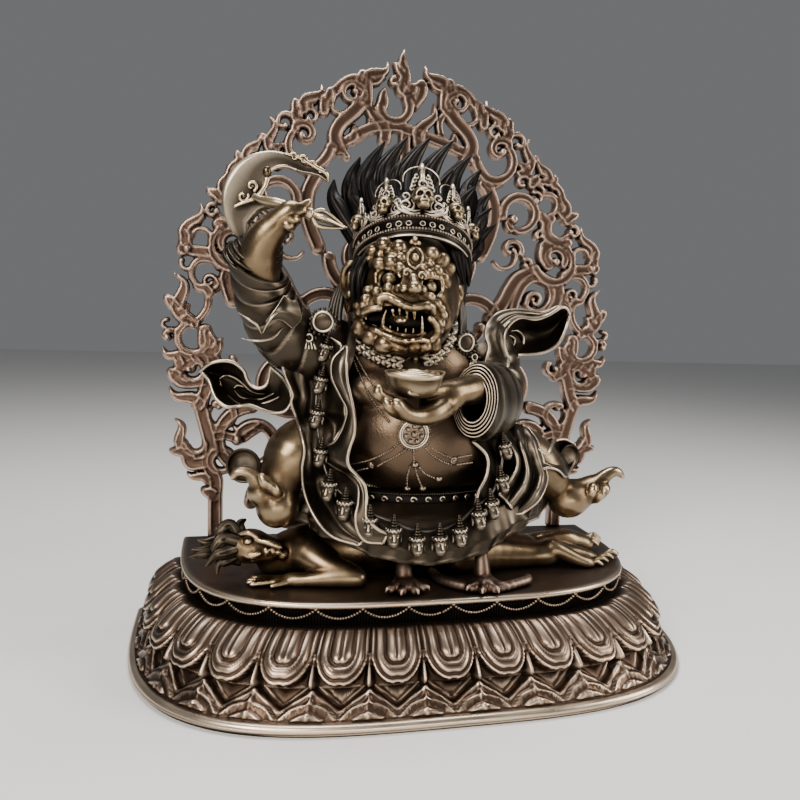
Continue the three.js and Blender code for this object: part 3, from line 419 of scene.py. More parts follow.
class Clay:
    def __init__(self, low, high, step):
        self.low = np.array(low, float)
        self.step = step
        self.count = np.ceil((np.array(high, float) - self.low) / step).astype(int) + 1
        self.field = np.full(self.count, 50.0, np.float32)

    def window(self, low, high):
        """The part of the grid between two corners, and its points' coordinates."""
        a = np.clip(np.floor((np.asarray(low) - self.low) / self.step).astype(int), 0, self.count)
        b = np.clip(np.ceil((np.asarray(high) - self.low) / self.step).astype(int) + 1, 0, self.count)
        key = tuple(slice(i, j) for i, j in zip(a, b))
        axes = [(self.low[i] + self.step * np.arange(a[i], b[i])).astype(np.float32) for i in range(3)]
        return key, np.meshgrid(*axes, indexing="ij", sparse=True)

    def press(self, key, here, blend, cut):
        """Adds a form to the clay, or cuts it out, with a soft seam."""
        old = self.field[key]
        if old.size == 0:
            return
        first = -old if cut else old
        share = np.clip(0.5 + 0.5 * (first - here) / blend, 0, 1)
        result = first + (here - first) * share - blend * share * (1 - share)
        self.field[key] = -result if cut else result

    def ball(self, centre, radii, blend=1.5, cut=False):
        radii = np.broadcast_to(np.asarray(radii, float), 3)
        reach = radii.max() + blend + 2 * self.step
        key, (x, y, z) = self.window(np.subtract(centre, reach), np.add(centre, reach))
        dx, dy, dz = x - centre[0], y - centre[1], z - centre[2]
        near = np.sqrt((dx / radii[0]) ** 2 + (dy / radii[1]) ** 2 + (dz / radii[2]) ** 2)
        slope = np.sqrt((dx / radii[0] ** 2) ** 2 + (dy / radii[1] ** 2) ** 2 + (dz / radii[2] ** 2) ** 2)
        self.press(key, (near * (near - 1) / np.maximum(slope, 1e-4)).astype(np.float32), blend, cut)

    def rod(self, a, b, ra, rb, blend=1.5, cut=False, flat=1):
        """A tapering rod with round ends. It can be flatter in height than across."""
        a, b = np.asarray(a, float), np.asarray(b, float)
        reach = max(ra, rb) + blend + 2 * self.step
        key, (x, y, z) = self.window(np.minimum(a, b) - reach, np.maximum(a, b) + reach)
        dx, dy, dz = x - a[0], y - a[1], z - a[2]
        way = b - a
        t = np.clip((dx * way[0] + dy * way[1] + dz * way[2]) / max(np.dot(way, way), 1e-6), 0, 1)
        ex, ey, ez = dx - t * way[0], dy - t * way[1], (dz - t * way[2]) / flat
        here = np.sqrt(ex ** 2 + ey ** 2 + ez ** 2) - (ra + (rb - ra) * t)
        self.press(key, here.astype(np.float32), blend, cut)

    def path(self, points, radii, blend=1.5, cut=False, count=None, flat=1):
        """A tapering strand on a smooth curve through the points."""
        curve = np.asarray(points, float)
        if len(curve) > 2:
            curve = smooth(curve, count or 4 * (len(curve) - 1) + 1)
        radius = np.interp(np.linspace(0, 1, len(curve)), np.linspace(0, 1, len(radii)), radii)
        for i in range(len(curve) - 1):
            self.rod(curve[i], curve[i + 1], radius[i], radius[i + 1], blend, cut, flat)

    def above(self, height):
        """Cuts off what is below a height."""
        z = self.low[2] + self.step * np.arange(self.count[2], dtype=np.float32)
        self.field = np.maximum(self.field, (height - z)[None, None, :])

    def land(self, points, lift=0.0):
        """Where the line of sight through each point meets the clay, raised by a lift towards the eye."""
        points = np.atleast_2d(np.asarray(points, float))
        way = unit(points - CAMERA_AT)
        steps = np.arange(-22, 16, self.step * 0.5)
        along = points[:, None] + way[:, None] * steps[None, :, None]
        at = np.clip(np.rint((along - self.low) / self.step).astype(int), 0, self.count - 1)
        inside = self.field[at[..., 0], at[..., 1], at[..., 2]] < 0
        first = np.where(inside.any(1), inside.argmax(1), np.argmin(np.abs(steps)))
        return points + way * (steps[first] - lift)[:, None]

    def skin(self):
        """A form with one point in each cell that the surface crosses, and a quad round each crossed edge."""
        field = self.field.copy()
        for axis in range(3):
            for side in (0, -1):
                edge = [slice(None)] * 3
                edge[axis] = side
                field[tuple(edge)] = np.maximum(field[tuple(edge)], 0.3 * self.step)
        inside = field < 0
        corners = [(i, j, k) for i in (0, 1) for j in (0, 1) for k in (0, 1)]
        cut = [slice(None, -1), slice(1, None)]
        whole = [inside[cut[i], cut[j], cut[k]] for i, j, k in corners]
        some = np.logical_or.reduce(whole) & ~np.logical_and.reduce(whole)
        at = np.argwhere(some)
        total = np.zeros((len(at), 3))
        hits = np.zeros(len(at))
        for i, a in enumerate(corners):
            for b in corners[i + 1:]:
                if sum(abs(p - q) for p, q in zip(a, b)) != 1:
                    continue
                crossing, place = crossings(field, at, a, b)
                total += place
                hits += crossing
        points = self.low + (at + total / hits[:, None]) * self.step
        number = np.full(some.shape, -1, np.int32)
        number[some] = np.arange(len(at))
        faces = []
        for axis in range(3):
            u, v = [np.eye(3, dtype=int)[(axis + i) % 3] for i in (1, 2)]
            low = [slice(1, -1)] * 3
            high = list(low)
            low[axis], high[axis] = slice(None, -1), slice(1, None)
            start, end = inside[tuple(low)], inside[tuple(high)]
            edge = np.argwhere(start != end)
            leaving = start[tuple(edge.T)]
            edge = edge + 1 - np.eye(3, dtype=int)[axis]
            quad = np.stack([number[tuple((edge - s).T)] for s in (0 * u, u, u + v, v)], 1)
            quad[~leaving] = quad[~leaving][:, ::-1]
            faces.append(quad)
        return points, np.concatenate(faces)


def crossings(field, at, a, b):
    """Which cells the surface crosses between their corners a and b, and where."""
    va, vb = field[tuple((at + a).T)], field[tuple((at + b).T)]
    crossing = (va < 0) != (vb < 0)
    share = np.where(crossing, va / np.where(crossing, va - vb, 1), 0)
    return crossing, np.where(crossing[:, None], np.array(a) + share[:, None] * np.subtract(b, a), 0)


def over(clay, field, lift):
    """Lays a sheet over the clay: points that the clay would hide come smoothly out in front of it."""
    points = field.reshape(-1, 3)
    landed = clay.land(points, lift)
    nearer = np.linalg.norm(points - CAMERA_AT, axis=1) - np.linalg.norm(landed - CAMERA_AT, axis=1)
    move = np.maximum(nearer, 0).reshape(field.shape[:2])
    for _ in range(10):
        wide = np.pad(move, 1, mode="edge")
        move = (wide[:-2, 1:-1] + wide[2:, 1:-1] + wide[1:-1, :-2] + wide[1:-1, 2:] + move) / 5
    return field - unit(field - CAMERA_AT) * move[..., None]


# The lotus plinth: outlines stacked from the rim to the slab, with the petals raised on them

RIM_HALF_WIDTH = 150
RIM_DEPTH = 150
RIM_HEIGHT = 5
LEAF_TOP = 16.5
PETAL_TOP = 34
SLAB_HALF_WIDTH = 124
SLAB_DEPTH = 117
SLAB_EDGE = 2.2
NECK_HALF_WIDTH = SLAB_HALF_WIDTH - 2
NECK_DEPTH = SLAB_DEPTH - 2
SQUARENESS = 3.4
LEAF_SETBACK = 6
PETAL_SETBACK = 7.5
PETALS = 19
# How far relief rises as a share of how far it stands out
RELIEF_LIFT = 0.35


def outline(angle, half_width, depth):
    """Points of the D-shaped outline, from its left end at the flat back round to the right."""
    power = 2 / SQUARENESS
    x = -np.sign(np.cos(angle)) * np.abs(np.cos(angle)) ** power * half_width
    return x, FLAT_BACK - np.abs(np.sin(angle)) ** power * depth


def even_angles(count, half_width=RIM_HALF_WIDTH, depth=RIM_DEPTH):
    fine = np.linspace(0, math.pi, 6001)
    x, y = outline(fine, half_width, depth)
    run = np.concatenate([[0], np.cumsum(np.hypot(np.diff(x), np.diff(y)))])
    return np.interp(np.linspace(0, run[-1], count + 1), run, fine)


def bump(value, middle, width):
    return np.exp(-(((value - middle) / width) ** 2))


def petal_relief(a, d):
    """An upper petal: nested lobes round a tongue with a groove. a is across it, d is down it."""
    notch = d + 0.02 * bump(a, 0, 0.09)
    level = np.hypot(a / 0.49, np.maximum(0, notch - 0.5) / 0.47)
    tall = 4.6 * np.sqrt(np.clip(1 - level ** 2.4, 0, 1))
    tall += 1.5 * np.clip(1 - (level / 0.36) ** 2, 0, 1) ** 0.6
    tall -= 1.3 * bump(level, 0.45, 0.045) + 1.2 * bump(level, 0.84, 0.035) * (level < 1)
    tall += 0.5 * bump(level, 0.54, 0.035) + 0.7 * bump(level, 0.93, 0.03) + 0.5 * bump(level, 0.68, 0.1)
    tall -= 1.4 * bump(a, 0, 0.013 + 0.02 * np.clip(0.5 - d, 0, 1)) * np.clip((0.66 - d) * 8, 0, 1)
    gap = np.abs(np.abs(a) - 0.5)
    leaf = np.clip(1 - gap / np.maximum(0.24 * (d - 0.5), 0.01), 0, 1) * (d > 0.54)
    leaf *= np.clip((1.03 - 0.7 * gap - d) / 0.07, 0, 1)
    between = (1.5 + 5.4 * d ** 2) * leaf ** 0.7 - 0.4 - 6.4 * d ** 3
    tall = np.where(level > 1, between, np.maximum(tall, -0.3))
    return tall * np.clip(d * 14, 0, 1)


# The lower row's leaves, one before the other: reach from the middle, edge heights there, how far out
LEAF_LAYERS = [
    ([0, 0.03, 0.09, 0.16, 0.28, 0.4, 0.5], [1.0, 0.92, 0.80, 0.72, 0.60, 0.42, 0.30], 0.3),
    ([0, 0.03, 0.08, 0.18, 0.32, 0.42, 0.5], [0.70, 0.62, 0.54, 0.50, 0.40, 0.22, 0.06], 1.7),
    ([0, 0.08, 0.2, 0.3, 0.34], [0.30, 0.27, 0.17, 0.04, 0.0], 2.7),
]


def leaf_relief(a, up):
    """The lower row: three leaves one before the other, centred between two petals, over a deep hollow."""
    b = 0.5 - np.abs(a)
    tall = -3.6 + 1.0 * np.clip(1 - np.abs(up - 0.35 - 1.5 * np.abs(a)) / 0.14, 0, 1) ** 2
    for reach, edge, out in LEAF_LAYERS:
        under = np.interp(b, reach, edge) - up
        rise = np.sqrt(np.clip(under / 0.07, 0, 1))
        leaf = -3.2 + rise * (3.4 + out) - 2.2 * np.clip(under - 0.1, 0, 1)
        leaf += 0.6 * bump(b, 0, 0.035) * (under > 0)
        tall = np.where(under > 0, np.maximum(tall, leaf), tall)
    return tall


def swept(rows, angles, relief=None):
    """Rows of points round the outline. Each row is (height, half width, depth, place), and relief says
    how far its points stand out at that place."""
    field = []
    for z, half_width, depth, place in rows:
        out = np.zeros_like(angles) if place is None else relief(place)
        x, y = outline(angles, half_width, depth)
        x0, y0 = outline(angles, half_width + 1, depth + 1)
        way = unit(np.stack([x0 - x, np.minimum(y0 - y, -1e-6)], -1))
        y = y + way[:, 1] * out
        y[[0, -1]] = FLAT_BACK
        field.append(np.stack([x + way[:, 0] * out, y, z + out * RELIEF_LIFT], -1))
    return np.array(field)


def closed_back(field):
    """The flat back between the two ends of each row."""
    rows, columns = field.shape[:2]
    left = np.arange(rows) * columns
    right = left + columns - 1
    return np.stack([left[:-1], left[1:], right[1:], right[:-1]], 1)


def make_plinth():
    columns = 32
    angles = even_angles(PETALS * columns)
    across = (np.arange(PETALS * columns + 1) % columns) / columns - 0.5
    rows = [(0, RIM_HALF_WIDTH - 1.6, RIM_DEPTH - 1.6, None)]
    for t in np.linspace(0, 1, 9):
        inset = 1.6 * (1 - math.sin(t * math.pi)) + 1.6 * max(0, t - 0.5) * 2
        rows.append((0.3 + (RIM_HEIGHT - 0.3) * t, RIM_HALF_WIDTH - inset, RIM_DEPTH - inset, None))
    rim_top = rows[-1]
    rows.append((RIM_HEIGHT + 0.1, rim_top[1] - 1.6, rim_top[2] - 1.6, None))
    lower = [
        (RIM_HEIGHT + (LEAF_TOP - RIM_HEIGHT) * up,
         RIM_HALF_WIDTH - LEAF_SETBACK - 6.5 * up, RIM_DEPTH - LEAF_SETBACK - 7.5 * up, up)
        for up in np.linspace(0.02, 1, 26)
    ]
    field = [swept(rows, angles), swept(lower, angles, lambda up: leaf_relief(across, up))]
    upper = []
    for d in np.linspace(1.02, 0, 46):
        share = min(d, 1)
        z = LEAF_TOP + (1 - d ** 1.6) * (PETAL_TOP - LEAF_TOP) if d <= 1 else LEAF_TOP
        half = NECK_HALF_WIDTH + (RIM_HALF_WIDTH - PETAL_SETBACK - NECK_HALF_WIDTH) * share
        deep = NECK_DEPTH + (RIM_DEPTH - PETAL_SETBACK - 2 - NECK_DEPTH) * share
        upper.append((z, half, deep, d))
    field.append(swept(upper, angles, lambda d: petal_relief(across, d)))
    field.append(swept([(PETAL_TOP + 0.8, NECK_HALF_WIDTH - 2, NECK_DEPTH - 2, None)], angles))
    whole = np.concatenate(field)
    points, faces = grid(whole)
    under = np.arange(PETALS * columns + 1)[::-1][None, :]
    shown("plinth_lotus", (points, [faces, closed_back(whole), under]), PLINTH, "lotus_plinth")


def edge_rod(half_width, depth, z, radius):
    """A round edge along the D-shaped outline."""
    x, y = outline(even_angles(400, half_width, depth), half_width - radius, depth - radius)
    y = np.minimum(y, FLAT_BACK - radius)
    return pipe(np.stack([x, y, 0 * x + z], 1), (radius, radius), 12)


RIBS_PER_PETAL = 15
RIB_HEIGHT = 0.35
# The bead strings: one swag for each petal, its beads, how far it hangs and half a bead's width
SWAG_BEADS = 17
SWAG_DROP = 4.2
SWAG_BEAD = 0.72


def make_band():
    """The dark band under the slab: fine upright ribs, and strings of beads looped in front of it."""
    steps = PETALS * RIBS_PER_PETAL * 4
    angles = even_angles(steps, NECK_HALF_WIDTH, NECK_DEPTH)
    rib = RIB_HEIGHT * np.cos(np.arange(steps + 1) / 4 * 2 * math.pi)
    heights = (PETAL_TOP - 1.5, PETAL_TOP + 0.6, PETAL_TOP + 3, PETAL_TOP + 6, SLAB_TOP - SLAB_EDGE)
    rows = [(z, NECK_HALF_WIDTH - 1, NECK_DEPTH - 1, z) for z in heights]
    field = swept(rows, angles, lambda z: rib)
    field[:, :, 2] -= RELIEF_LIFT * rib
    points, faces = grid(field)
    shown("plinth_band", (points, [faces, closed_back(field)]), BAND)
    strings = []
    swags = even_angles(PETALS * SWAG_BEADS, SLAB_HALF_WIDTH, SLAB_DEPTH)
    x, y = outline(swags, SLAB_HALF_WIDTH - 0.4, SLAB_DEPTH - 0.4)
    for i in range(1, PETALS * SWAG_BEADS):
        share = ((i + 4) % SWAG_BEADS) / SWAG_BEADS
        drop = SWAG_DROP * (1 - (2 * share - 1) ** 2)
        strings.append(globe((x[i], y[i], SLAB_TOP - SLAB_EDGE - 0.9 - drop), (SWAG_BEAD,) * 3, 5, 8))
    for i in range(SWAG_BEADS - 4, (PETALS - 1) * SWAG_BEADS, SWAG_BEADS):
        strings.append(globe((x[i], y[i], SLAB_TOP - SLAB_EDGE - 0.6), (1.0, 1.0, 0.9), 5, 7))
    shown("plinth_beads", joined(strings), PALE)


def make_slab():
    angles = even_angles(190, SLAB_HALF_WIDTH, SLAB_DEPTH)
    rows = [(SLAB_TOP - SLAB_EDGE, SLAB_HALF_WIDTH - 4, SLAB_DEPTH - 4, None)]
    for t in np.linspace(-1, 1, 9):
        inset = 1.1 * (1 - math.sqrt(max(0, 1 - t * t)))
        z = SLAB_TOP - SLAB_EDGE / 2 + SLAB_EDGE / 2 * t
        rows.append((z, SLAB_HALF_WIDTH - inset, SLAB_DEPTH - inset, None))
    rows.append((SLAB_TOP, SLAB_HALF_WIDTH - 3, SLAB_DEPTH - 3, None))
    field = swept(rows, angles)
    points, faces = grid(field)
    top = np.arange(len(points))[-len(angles):]
    right, left = top[:len(top) // 2], top[::-1][:len(top) // 2]
    lid = np.stack([right[:-1], right[1:], left[1:], left[:-1]], 1)
    shown("plinth_slab", (points, [faces, closed_back(field), lid]), SLAB)
    edges = [
        edge_rod(SLAB_HALF_WIDTH + 0.4, SLAB_DEPTH + 0.4, SLAB_TOP - 1.5, 1.5),
        edge_rod(RIM_HALF_WIDTH, RIM_DEPTH, 2.7, 2.5),
    ]
    shown("plinth_edges", joined(edges), PALE)


make_plinth()
make_band()
make_slab()


# The halo: scrolls, flames and stems in its own plane, drawn for the right half and mirrored

HALO_WIDTH = 274
DRAWN_WIDTH = 268
HALO_THICKNESS = 5

# Each scroll: the centre, the radius at its start and its end, the angle where it starts, how far
# it turns, clockwise where negative, half the strand's width, and the radius of the ball it ends in
SCROLLS = [
    [37.5, 297, 5, 5.5, 40, -200, 1.7, 0], [31, 303, 7, 2, 210, -440, 1.8, 2],
    [54, 288.5, 5.3, 1.8, -10, 330, 1.6, 1.9], [68.2, 284, 5.8, 2, 165, -270, 1.7, 2.2],
    [55, 272.5, 12.5, 10.5, 180, 230, 2.9, 0], [57, 278.5, 6.5, 2, 30, 300, 2.4, 2.8],
    [72.5, 260.5, 5.5, 1.5, -20, 300, 1.6, 1.7], [81, 254.5, 6, 5, 130, -130, 1.6, 0],
    [81.5, 252, 4, 2, 120, -230, 1.4, 2.6], [71, 242, 10.5, 10, 190, -290, 2.8, 0],
    [67.5, 237, 4.5, 1.5, 250, -150, 2.4, 3.4], [88.5, 248.5, 6.5, 6.5, 110, -200, 1.9, 0],
    [97.5, 235, 7, 6.5, 130, 220, 1.8, 0], [106, 233, 4, 1.6, 100, -270, 1.6, 2.2],
    [85.5, 230.5, 3.2, 1.2, 220, -300, 1.5, 1.6], [94.5, 214, 12.3, 12, 200, 215, 2.6, 0],
    [94.5, 216.5, 7.5, 2.5, -30, 330, 2.3, 3], [112, 218, 5, 5, 200, -200, 1.6, 0],
    [121, 211, 3.4, 1.5, 60, -260, 1.5, 2.6], [119.5, 203.5, 3.5, 3, 30, -160, 1.5, 0],
    [109.5, 198.5, 7.8, 8, 150, -200, 2.2, 0], [107.7, 194, 4.4, 1.4, 230, -380, 1.4, 1.6],
    [84.5, 193, 9.5, 9, 60, -205, 2, 0], [83.5, 190.5, 5.2, 1.5, 200, -390, 1.7, 1.8],
    [77.3, 212, 3.6, 1.5, 120, -270, 1.6, 2.2], [67, 220.5, 6.8, 2.5, -20, 250, 1.9, 2.2],
    [63, 216, 7.2, 7, 40, -190, 1.5, 0], [116.5, 162, 8.3, 8.3, 60, -240, 2.2, 0],
    [116, 169.5, 2.6, 1, 120, 200, 1.4, 1.7], [130, 163, 2, 1, 90, -180, 1.8, 2.4],
    [130.5, 169.5, 2.4, 2, 100, -180, 1.3, 0], [116.5, 144, 5.8, 5.5, 110, 200, 1.7, 0],
    [118, 144.5, 2.6, 1, 120, 200, 1.3, 1.7], [97.5, 147.5, 4.4, 1.8, 120, 260, 1.7, 2.3],
    [101, 118, 7.4, 7, 60, 330, 1.9, 0], [102.5, 123.5, 2, 1, 90, 180, 1.3, 1.7],
    [88, 112, 5.5, 5.5, 190, 160, 1.5, 0], [115, 101.5, 6, 5, 0, -190, 2, 0],
    [100.5, 91.5, 6.5, 6.5, 60, -330, 2.2, 0],
]

# Each flame: its foot, its tip, how far it swings aside as a share of its length, and half its
# width at the foot
FLAMES = [
    [23, 309, 11, 322.5, -0.3, 2.4], [20, 311, 12, 313.5, 0.15, 1.8], [27, 308, 24.5, 317, 0.1, 2.8],
    [44, 298, 43, 305.5, 0.1, 2.6], [30, 277, 28.5, 286.5, 0.1, 2], [58, 292, 48, 306.5, -0.28, 2.3],
    [54, 297, 49, 298, 0.2, 1.4], [62, 289, 62, 298, 0.1, 2.6], [74, 267, 76, 286.5, -0.25, 2.2],
    [74, 268, 68.5, 273.5, -0.15, 1.7], [77, 272, 80.5, 277.5, 0.1, 1.8], [78, 260, 82, 266.5, 0.1, 2.2],
    [88, 262, 82, 277, -0.25, 2.1], [86, 267, 81.5, 268.5, 0.1, 1.4], [92, 260, 93, 267, 0.15, 2],
    [99, 243, 99, 258.5, -0.3, 2.4], [102, 240, 109.3, 245.5, 0.15, 2.4],
    [120, 217, 112.5, 236.5, -0.25, 2.3], [116, 226.5, 110, 229, 0.2, 1.4],
    [121, 216, 122.5, 224, 0.1, 2.4], [119, 172, 126.8, 198, -0.3, 3], [124, 175, 118, 180.5, 0.15, 2.2],
    [127, 180, 131, 186, 0.1, 2.4], [108, 187, 116, 193.5, 0.3, 2.1], [108, 154, 107, 169, 0.15, 3.2],
    [106, 154, 100, 162, 0.15, 2.4], [118, 147, 132.5, 156.5, 0.3, 2.6], [124, 147, 125, 153.5, 0.1, 2],
    [123, 139, 130, 143.5, -0.1, 3.2], [124, 138, 118, 134, 0.1, 2], [112, 122, 129, 134, 0.25, 2.7],
    [114, 123, 109.5, 130, 0.1, 2.3], [120, 98, 126, 115.5, -0.25, 2.3], [120, 96, 129, 98, 0.1, 2.4],
    [108, 80, 119.5, 84.5, 0.2, 2.1], [105, 71, 111.5, 75, 0.1, 2.8],
]

# Each stem: half its width, then its points
STEMS = [
    [4.6, 24, 300, 29, 294, 37, 286, 40, 279, 38, 272],
    [2.8, 22, 300, 23, 309, 30, 311, 36, 308, 41, 303, 46, 298, 46.5, 292],
    [2, 23, 297, 20, 291, 22, 283, 28, 278, 36, 276],
    [2.6, 55, 294, 61, 290, 62, 285],
    [2.8, 42, 272, 49, 262, 52, 258, 58, 260],
    [4.6, 49, 258, 54, 248, 55, 238, 53, 228, 48, 216],
    [2, 33, 268, 37, 272, 41, 269],
    [2.2, 70, 266, 75, 266, 79, 262, 88, 262, 95, 259, 98, 252, 97, 244],
    [3.2, 84, 242, 88, 238, 89, 230, 97, 226, 103, 226],
    [4, 88.5, 223, 88, 217, 91, 213],
    [4.2, 80, 207, 92, 202, 98, 198, 97, 190, 95, 184],
    [3, 102, 206, 109, 210, 118, 211, 121, 216],
    [4, 80, 207, 72, 203, 67, 196, 63, 188, 56, 178],
    [2.8, 90, 203, 82, 204, 76, 200, 72, 192, 70, 184, 72, 172],
    [2, 100, 200, 102, 192, 105, 189, 108, 186, 109, 179, 114, 172, 119, 172],
    [3, 119, 172, 124, 177, 128, 182],
    [3.6, 110, 166, 110, 159, 107, 154, 105, 148, 107, 141],
    [1.8, 123, 166, 129, 166],
    [2.6, 106, 149, 112, 150, 119, 147, 125, 143, 124, 137, 117, 136, 109, 138],
    [2.8, 105, 147, 100, 143],
    [3.6, 107, 142, 109, 134, 112, 124, 110, 114, 108, 106, 106, 98, 108, 90, 104, 80, 104, 70, 104, 46],
    [3.8, 109, 91, 117, 90, 119, 95],
    [2.6, 106, 106, 98, 106, 90, 104, 84, 108, 78, 112],
]

# The flame at the top with its lobes, and the open ring under it, on the middle line
CREST_SCROLLS = [
    [-6.5, 298, 8.5, 8, 30, -215, 2.8, 0],
    [-7, 311.5, 2.6, 1, 90, 200, 1.6, 1.8],
]
CREST_FLAMES = [
    [-2.5, 308, -1.5, 330.5, -0.1, 2.9],
    [-2, 316, -8, 322.5, 0.1, 2],
    [1, 305, 8, 313.5, 0.2, 2.6],
    [8.5, 311, 6.5, 297, 0.12, 2.7],
    [-15, 296, -11.5, 308.5, -0.1, 2.6],
    [8, 278, 16.5, 302, 0.22, 2.7],
    [-12, 279, -20, 301, -0.2, 2.7],
]
CREST_STEMS = [
    [2.8, -4, 311, 1, 305, 7, 309],
    [3, -34, 276, -22, 284, -7, 287, 8, 284, 22, 280, 34, 276],
    [3, 0, 286, 0, 262, 0, SLAB_TOP],
]

# How much fuller than their drawn lines the strands of each kind are cast
SCROLL_FULLNESS = 1.18
FLAME_FULLNESS = 1.3
STEM_FULLNESS = 1.2
FLAME_SWING = 0.45
WIDEST_STEM = 4.6

# The plainer middle that the figure hides: rows of large scrolls, each row shifted by half a step,
# with a ring on the middle line in every other row. Each row is given by how many it has on one side.
MIDDLE_ROWS = [2, 3, 2, 2, 1, 1]
MIDDLE_STEP = 42
MIDDLE_RISE = 36
MIDDLE_FOOT = 66
MIDDLE_RADIUS = 21
MIDDLE_CURL = 8
MIDDLE_SWEEP = 440
MIDDLE_RING = 12.6
MIDDLE_STRAND = 3.6


def scroll_strand(cx, cz, start_radius, end_radius, start, sweep, half, end):
    count = math.ceil(abs(sweep) / 6)
    share = np.linspace(0, 1, count + 1)
    angle = np.radians(start + sweep * share)
    radius = start_radius + (end_radius - start_radius) * share
    thick = half * SCROLL_FULLNESS * (1 - 0.25 * share)
    strand = np.stack([cx + np.cos(angle) * radius, cz + np.sin(angle) * radius, thick], 1)
    return strand, vec(*strand[-1, :2], end)[None, :]


def flame_strand(fx, fz, tx, tz, swing, half):
    share = np.linspace(0, 1, 33)
    aside = FLAME_SWING * swing * np.sin(share * math.pi * 2)
    taper = half * FLAME_FULLNESS * (1 - share ** 2.6) + 0.5
    across, up = tx - fx, tz - fz
    return np.stack([fx + across * share - up * aside, fz + up * share + across * aside, taper], 1)


def stem_strand(half, *values):
    knots = np.array(values, float).reshape(-1, 2)
    length = np.linalg.norm(np.diff(knots, axis=0), axis=1).sum()
    curve = smooth(knots, int(length * 1.3) + 2)
    thick = max(half, min(half * STEM_FULLNESS, WIDEST_STEM))
    return np.concatenate([curve, np.full((len(curve), 1), float(thick))], 1)


def middle_scrolls():
    scrolls = []
    for row, count in enumerate(MIDDLE_ROWS):
        z = MIDDLE_FOOT + MIDDLE_RISE * row
        for i in range(count):
            x = MIDDLE_STEP * (i + (0 if row % 2 else 0.5))
            if x == 0:
                scrolls.append((x, z, MIDDLE_RING, MIDDLE_RING, 0, 360, MIDDLE_STRAND, 0))
            else:
                sweep = MIDDLE_SWEEP if i % 2 else -MIDDLE_SWEEP
                turn = (90 * row, sweep)
                scrolls.append((x, z, MIDDLE_RADIUS, MIDDLE_CURL, *turn, MIDDLE_STRAND, MIDDLE_STRAND))
    return scrolls


# The grid that the halo is pressed into: its step, its height and its margin round the outline
HALO_STEP = 0.75
HALO_ROWS = 296
HALO_MARGIN = 4
# How wide the round edge is, and the flat part of the casting behind it
HALO_EDGE = 1.5
HALO_FLAT = HALO_THICKNESS - 2.2


def make_halo():
    left, low = -HALO_WIDTH / 2 - HALO_MARGIN, SLAB_TOP - HALO_MARGIN
    columns = int((HALO_WIDTH + 2 * HALO_MARGIN) / HALO_STEP)
    rows = int(HALO_ROWS / HALO_STEP)
    depth = np.full((columns, rows), -2.0)
    tall = np.zeros((columns, rows))
    stretch = HALO_WIDTH / DRAWN_WIDTH

    def press(discs, shape):
        """Presses a run of round discs in, shaped by how far each point lies from the nearest one."""
        share = np.full((columns, rows), 1.0)
        thick = np.ones((columns, rows))
        midway = np.zeros((columns, rows))
        for i, (x, z, radius) in enumerate(discs):
            reach = radius + HALO_STEP * 1.5
            key = tuple(
                slice(max(0, int((at - reach - start) / HALO_STEP)),
                      int((at + reach - start) / HALO_STEP) + 2)
                for at, start in ((x, left), (z, low))
            )
            px = left + HALO_STEP * np.arange(columns)[key[0], None]
            pz = low + HALO_STEP * np.arange(rows)[None, key[1]]
            away = np.hypot(px - x, pz - z)
            depth[key] = np.maximum(depth[key], radius - away)
            nearer = away / radius < share[key]
            thick[key] = np.where(nearer, radius, thick[key])
            midway[key] = np.where(nearer, 0 < i < len(discs) - 1, midway[key])
            share[key] = np.minimum(share[key], away / radius)
        np.maximum(tall, np.where(share < 1, shape(share, thick, midway), 0), out=tall)

    def strand_shape(level):
        def shape(u, radius, midway):
            bulge = np.minimum(radius, 3) * 0.66
            rimmed = 0.62 + 0.38 * bump(u, 0.68, 0.17) * midway
            return level + bulge * np.where(radius > 1.6, rimmed, np.sqrt(1 - np.minimum(u, 1) ** 2))
        return shape

    def knob_shape(level):
        return lambda u, radius, midway: level + radius * 0.95 * np.sqrt(1 - np.minimum(u, 1) ** 2)

    def lay(strand, shape, mirrored):
        for side in ((1, -1) if mirrored else (1,)):
            press(strand * vec(side * stretch, 1, 1), shape)

    def lay_scroll(values, level, end_level, mirrored):
        strand, end = scroll_strand(*values)
        lay(strand, strand_shape(level), mirrored)
        if end[0, 2]:
            lay(end, knob_shape(end_level), mirrored)

    for values in middle_scrolls():
        lay_scroll(values, 0.2, 0.2, True)
    for stems, scrolls, flames, mirrored in (
        (STEMS, SCROLLS, FLAMES, True), (CREST_STEMS, CREST_SCROLLS, CREST_FLAMES, False)
    ):
        for i, values in enumerate(stems):
            lay(stem_strand(*values), strand_shape(0.3 + 0.25 * (i % 2)), mirrored)
        for i, values in enumerate(flames):
            lay(flame_strand(*values), strand_shape(0.5 + 0.3 * (i % 2)), mirrored)
        for i, values in enumerate(scrolls):
            lay_scroll(values, 0.9 + 0.35 * (i % 2), 1.1, mirrored)
    heights = low + HALO_STEP * np.arange(rows)
    depth = np.minimum(depth, (heights - SLAB_TOP)[None, :])
    depth[np.abs(depth) < 1e-3] = 1e-3
    skin_halo(depth, tall, left, low)


